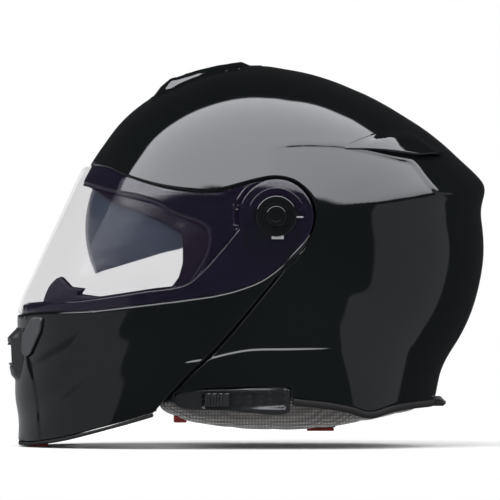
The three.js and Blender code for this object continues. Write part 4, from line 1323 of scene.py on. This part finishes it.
sc = relief("chin_scoop_cover", rows(-33.6, 33.6, 1.2, (-23, 23)), rows(47.4, 87.6, 1.2, (61.5, 75)), scoop_out,
            lambda y, z: [front_x(y, z) - 0.42, y, z], keep=lambda y, z: not (abs(y) < 23 and 61.5 < z < 75))
piece(sc, "chin_bar_body", "chin_vent_scoop")
fl = relief("chin_vent_louvre", rows(-22.2, 22.2, 0.9), rows(62.3, 74.2, 0.35),
            lambda y, z: [-171.35 + 0.45 * (0.5 + 0.5 * math.cos((z - 62.3) * 2 * math.pi / 3.0)), y, z], lambda y, z: [-169.45, y, z])
piece(fl, "chin_vent_body", "chin_vent_flap")
for tag in "lr":
    tp = Soup()
    panel(tp, rounded(PLATE, 1.8), Surf(SHIELD, -2.3, 131), 1.8, fillet=0.7, spacing=1.6, sides={"l": "left", "r": "right"}[tag])
    piece(tp.make("chin_side_plate_" + tag), "chin_bar_body", "chin_trim_plate_" + tag)

# ---- breath deflector
bd = Soup()
panel(bd, rounded([[-158.5, 96], [-158.0, 107], [-139.5, 124.8], [-137.6, 124.4], [-131, 117.0], [-121.0, 115.8], [-124.4, 111.6], [-106, 109], [-96, 98], [-100, 95.5]], 1.2),
      Surf(SHIELD, 19.5, 100), 2.2, fillet=0.9, spacing=3.5)
piece(bd.make("breath_guard"), "chin_bar_body", "breath_deflector")


# ---- sun visor slider
def track_bump(x, z):
    slot = smoothstep(x, -32.0, -30.5) * (1 - smoothstep(x, 28.5, 30)) * smoothstep(z, 30.2, 31.2) * (1 - smoothstep(z, 41.0, 42.0))
    rim = (1 - smoothstep(np.abs(z - 43.0), 0.4, 1.2)) * 0.5
    tick = sum((1 - smoothstep(np.abs(x - q), 0.3, 0.8)) for q in (-6, 2, 10, 18)) * slot
    return -3.2 * slot + rim + 1.2 * tick


tk = Soup()
panel(tk, catmull([[-51.0, 39.4], [-28.9, 43.5], [-13.3, 44.2], [12.6, 45.0], [31.6, 44.0], [31.7, 35], [31.6, 27.0], [-13, 28.0], [-50.8, 31.9]], 1.5, closed=True),
      Surf(SHELL, 1.2, 125.4, bump=track_bump), 4.6, fillet=0.8, spacing=1.7, sides="left")
piece(tk.make("slider_rail"), "shell", "slider_track")
kb = relief("slider_grip", rows(-29.9, -12.1, 0.45), rows(31.0, 41.0, 0.5),
            lambda x, z: [x, -114.6 - 1.15 * (smoothstep(math.cos((x + 26.9) * 2 * math.pi / 4.4), -0.3, 0.5)) * (1 - smoothstep(abs(z - 36), 4.0, 4.7)), z],
            lambda x, z: [x, -110.95, z])
piece(kb, "slider_body", "slider_knob")


# ------------------------------------------------------------------ soft pieces
def clothed(node, body, name, voxel=4.5, inflate=1.0, relax=6, sim=True, cap=5.0, key="fabric", seams=None, level=1):
    src = frame["nodes"][node]
    me = src.data.copy()
    me.name = name
    ob = bpy.data.objects.new(name, me)
    scene.collection.objects.link(ob)
    m = ob.modifiers.new("remesh", "REMESH")
    m.mode, m.voxel_size = "VOXEL", voxel * MM
    s = ob.modifiers.new("smooth", "SMOOTH")
    s.factor, s.iterations = 0.5, relax
    bpy.context.view_layer.update()
    dep = bpy.context.evaluated_depsgraph_get()
    new = bpy.data.meshes.new_from_object(ob.evaluated_get(dep))
    ob.modifiers.clear()
    ob.data = new
    start = np.array([v.co[:] for v in new.vertices])
    lo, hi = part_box(node)
    if sim:
        scene.frame_set(1)
        c = ob.modifiers.new("cloth", "CLOTH")
        c.settings.use_pressure = True
        c.settings.uniform_pressure_force = 3.0
        c.settings.tension_stiffness = 22
        c.settings.bending_stiffness = 1.5
        c.settings.quality = 4
        c.settings.effector_weights.gravity = 0
        c.point_cache.frame_start, c.point_cache.frame_end = 1, 12
        for f in range(1, 13):
            scene.frame_set(f)
        dep = bpy.context.evaluated_depsgraph_get()
        out = bpy.data.meshes.new_from_object(ob.evaluated_get(dep))
        end = np.array([v.co[:] for v in out.vertices])
        ob.modifiers.clear()
        scene.frame_set(1)
        mv = end - start
        l = np.linalg.norm(mv, axis=1, keepdims=True)
        mv = np.nan_to_num(mv * np.minimum(1, cap * MM / np.maximum(l, 1e-9)))
        start = start + mv
        ob.data = out
    nrm = np.array([v.normal[:] for v in ob.data.vertices])
    start = start + nrm * inflate * MM
    if seams is not None:
        start = start + nrm * seams(start / MM)[:, None] * MM
    start = np.clip(start, np.array(lo[:]) - 0.0015, np.array(hi[:]) + 0.0015)
    start[:, 2] = np.maximum(start[:, 2], 0.0012)
    ob.data.vertices.foreach_set("co", start.ravel())
    ob.data.polygons.foreach_set("use_smooth", [True] * len(ob.data.polygons))
    ob.data.update()
    if level:
        sd = ob.modifiers.new("sub", "SUBSURF")
        sd.levels = sd.render_levels = level
    piece(ob, body, node, key=key)
    return ob


def quilt(step, depth, ax=0, ph=0.0):
    return lambda p: -depth * np.exp(-(((p[:, ax] + ph) % step - step / 2) / 1.3) ** 2)


for tag in "lr":
    clothed("cheek_pad_" + tag, "shell", "cheek_cushion_" + tag, 4.5, -0.6, 5, True, 3.0,
            seams=lambda p: -1.8 * np.exp(-((p[:, 2] - 84 - 0.18 * p[:, 0]) / 1.6) ** 2) - 1.6 * np.exp(-((p[:, 0] + 12) / 1.6) ** 2))
clothed("crown_liner", "shell", "crown_padding", 5.0, 0.2, 4, False, seams=lambda p: -1.3 * np.exp(-((np.abs(p[:, 1]) - 24) / 1.6) ** 2) - 1.1 * np.exp(-((p[:, 0] - 30) / 1.6) ** 2), level=0)
# the neck cushion's lighter grey is partly the cloth's own grey, partly painted sheen
clothed("neck_roll", "shell", "neck_cushion", 4.5, 0.3, 8, True, 3.0, key="neck_cloth",
        seams=lambda p: -1.6 * np.exp(-(((np.arctan2(p[:, 1], p[:, 0] - 22) * 9) % 3.1416 - 1.57) / 0.16) ** 2))
clothed("chin_curtain", "chin_bar_body", "chin_curtain_cloth", 1.6, 0.0, 2, False, level=0)
for tag in "lr":
    clothed("chin_strap_" + tag, "shell", "strap_web_" + tag, 1.2, 0.0, 2, False, key="webbing", level=0)
    clothed("pull_tab_" + tag, "shell", "pull_ribbon_" + tag, 0.9, 0.1, 1, False, key="red_fabric", level=0)


# ------------------------------------------------------------------ hard pieces with eased edges
def eased(node, body, name, r=0.5, seg=2, key=None, angle=30):
    src = frame["nodes"][node]
    import bmesh
    me = src.data.copy()
    me.name = name
    bm = bmesh.new()
    bm.from_mesh(me)
    bmesh.ops.remove_doubles(bm, verts=bm.verts, dist=2e-6)
    bmesh.ops.dissolve_limit(bm, angle_limit=math.radians(1.5), verts=bm.verts, edges=bm.edges)
    bm.to_mesh(me)
    bm.free()
    ob = bpy.data.objects.new(name, me)
    scene.collection.objects.link(ob)
    b = ob.modifiers.new("bevel", "BEVEL")
    b.width, b.segments, b.limit_method, b.angle_limit = r * MM, seg, "ANGLE", math.radians(angle)
    b.harden_normals = True
    me.polygons.foreach_set("use_smooth", [True] * len(me.polygons))
    piece(ob, body, node, key=key)
    return ob


for node, body, r in (("release_button", "release_body", 0.7), ("buckle_body", "shell", 0.5), ("buckle_tongue", "shell", 0.4),
                      ("buckle_lever", "buckle_lever_body", 0.6), ("strike_pin_l", "shell", 0.4), ("strike_pin_r", "shell", 0.4),
                      ("latch_catch_l", "chin_bar_body", 0.4), ("latch_catch_r", "chin_bar_body", 0.4), ("sun_visor_screw_l", "shell", 0.3),
                      ("sun_visor_screw_r", "shell", 0.3), ("strap_anchor_l", "shell", 0.5), ("strap_anchor_r", "shell", 0.5)):
    eased(node, body, node + "_eased", r)

rt = relief("rear_pull_loop", rows(138.2, 147.6, 0.6), rows(-10.8, 10.8, 0.6),
            lambda x, y: [x, y, 36.9 - 2.2 * smoothstep(abs(y), 8.0, 10.8) - 3.4 * smoothstep(x, 143.5, 147.6)],
            lambda x, y: [x, y, 29.8 + 2.0 * smoothstep(abs(y), 8.6, 10.8) + 1.6 * smoothstep(x, 145.5, 147.6)],
            keep=lambda x, y: not (143.6 < x < 145.8 and abs(y) < 6.6))
piece(rt, "shell", "rear_tab")
for tag, sd in (("l", -1), ("r", 1)):
    # bracket that carries the latch pin's plate from the shell
    br = Soup()
    bp = [[-69.0, sd * 96.0, 50.5], [-66.5, sd * 97.2, 50.5], [-63.8, sd * 101.5, 50.5], [-62.0, sd * 106.5, 50.5], [-60.5, sd * 112.5, 50.5]]
    sweep(br, catmull(bp, 1.0), [[0.6, sd * -0.8, 0]] * len(catmull(bp, 1.0)), [(-6, -1), (-5.6, -1.2), (5.6, -1.2), (6, -1), (6, 0.6), (5.6, 0.8), (-5.6, 0.8), (-6, 0.6)])
    piece(br.make("pin_bracket_" + tag), "shell", key="steel")
    # marks moulded on the shield's round end, coloured pale grey as a painted highlight
    for nm, x0, x1, z0, z1 in (("slot", 18.6, 27.4, 152.9, 155.5), ("tick", 34.9, 41.6, 168.3, 169.4)):
        mk = relief("ear_%s_%s" % (nm, tag), rows(x0, x1, 0.3), rows(z0, z1, 0.22),
                    lambda x, z: [x, sd * (128.98 - 0.3 * smoothstep(max(abs(x - (x0 + x1) / 2) - (x1 - x0) / 2 + 0.8, abs(z - (z0 + z1) / 2) - (z1 - z0) / 2 + 0.5), 0, 0.7)
                                           - (0.28 if nm == "slot" and abs(z - 154.2) < 0.45 and abs(x - 23) < 3 else 0)), z],
                    lambda x, z: [x, sd * 128.5, z])
        piece(mk, "shield_body", key="mark")
    for i, (z0, z1) in enumerate(((172.6, 178.0), (158.6, 163.6))):
        lug = relief("pivot_lug_%s_%d" % (tag, i), rows(-9.4, -4.2, 0.4), rows(z0, z1, 0.4),
                     lambda x, z: [x, sd * (121.75 - 1.1 * smoothstep(max(abs(x + 6.8) - 1.6, abs(z - (z0 + z1) / 2) - 1.7), 0, 1.0)
                                            - 0.5 * (1 - smoothstep(math.hypot(x + 6.8, z - (z0 + z1) / 2), 0.7, 1.1))), z],
                     lambda x, z: [x, sd * 119.4, z])
        piece(lug, "shell", key="dark_gloss")
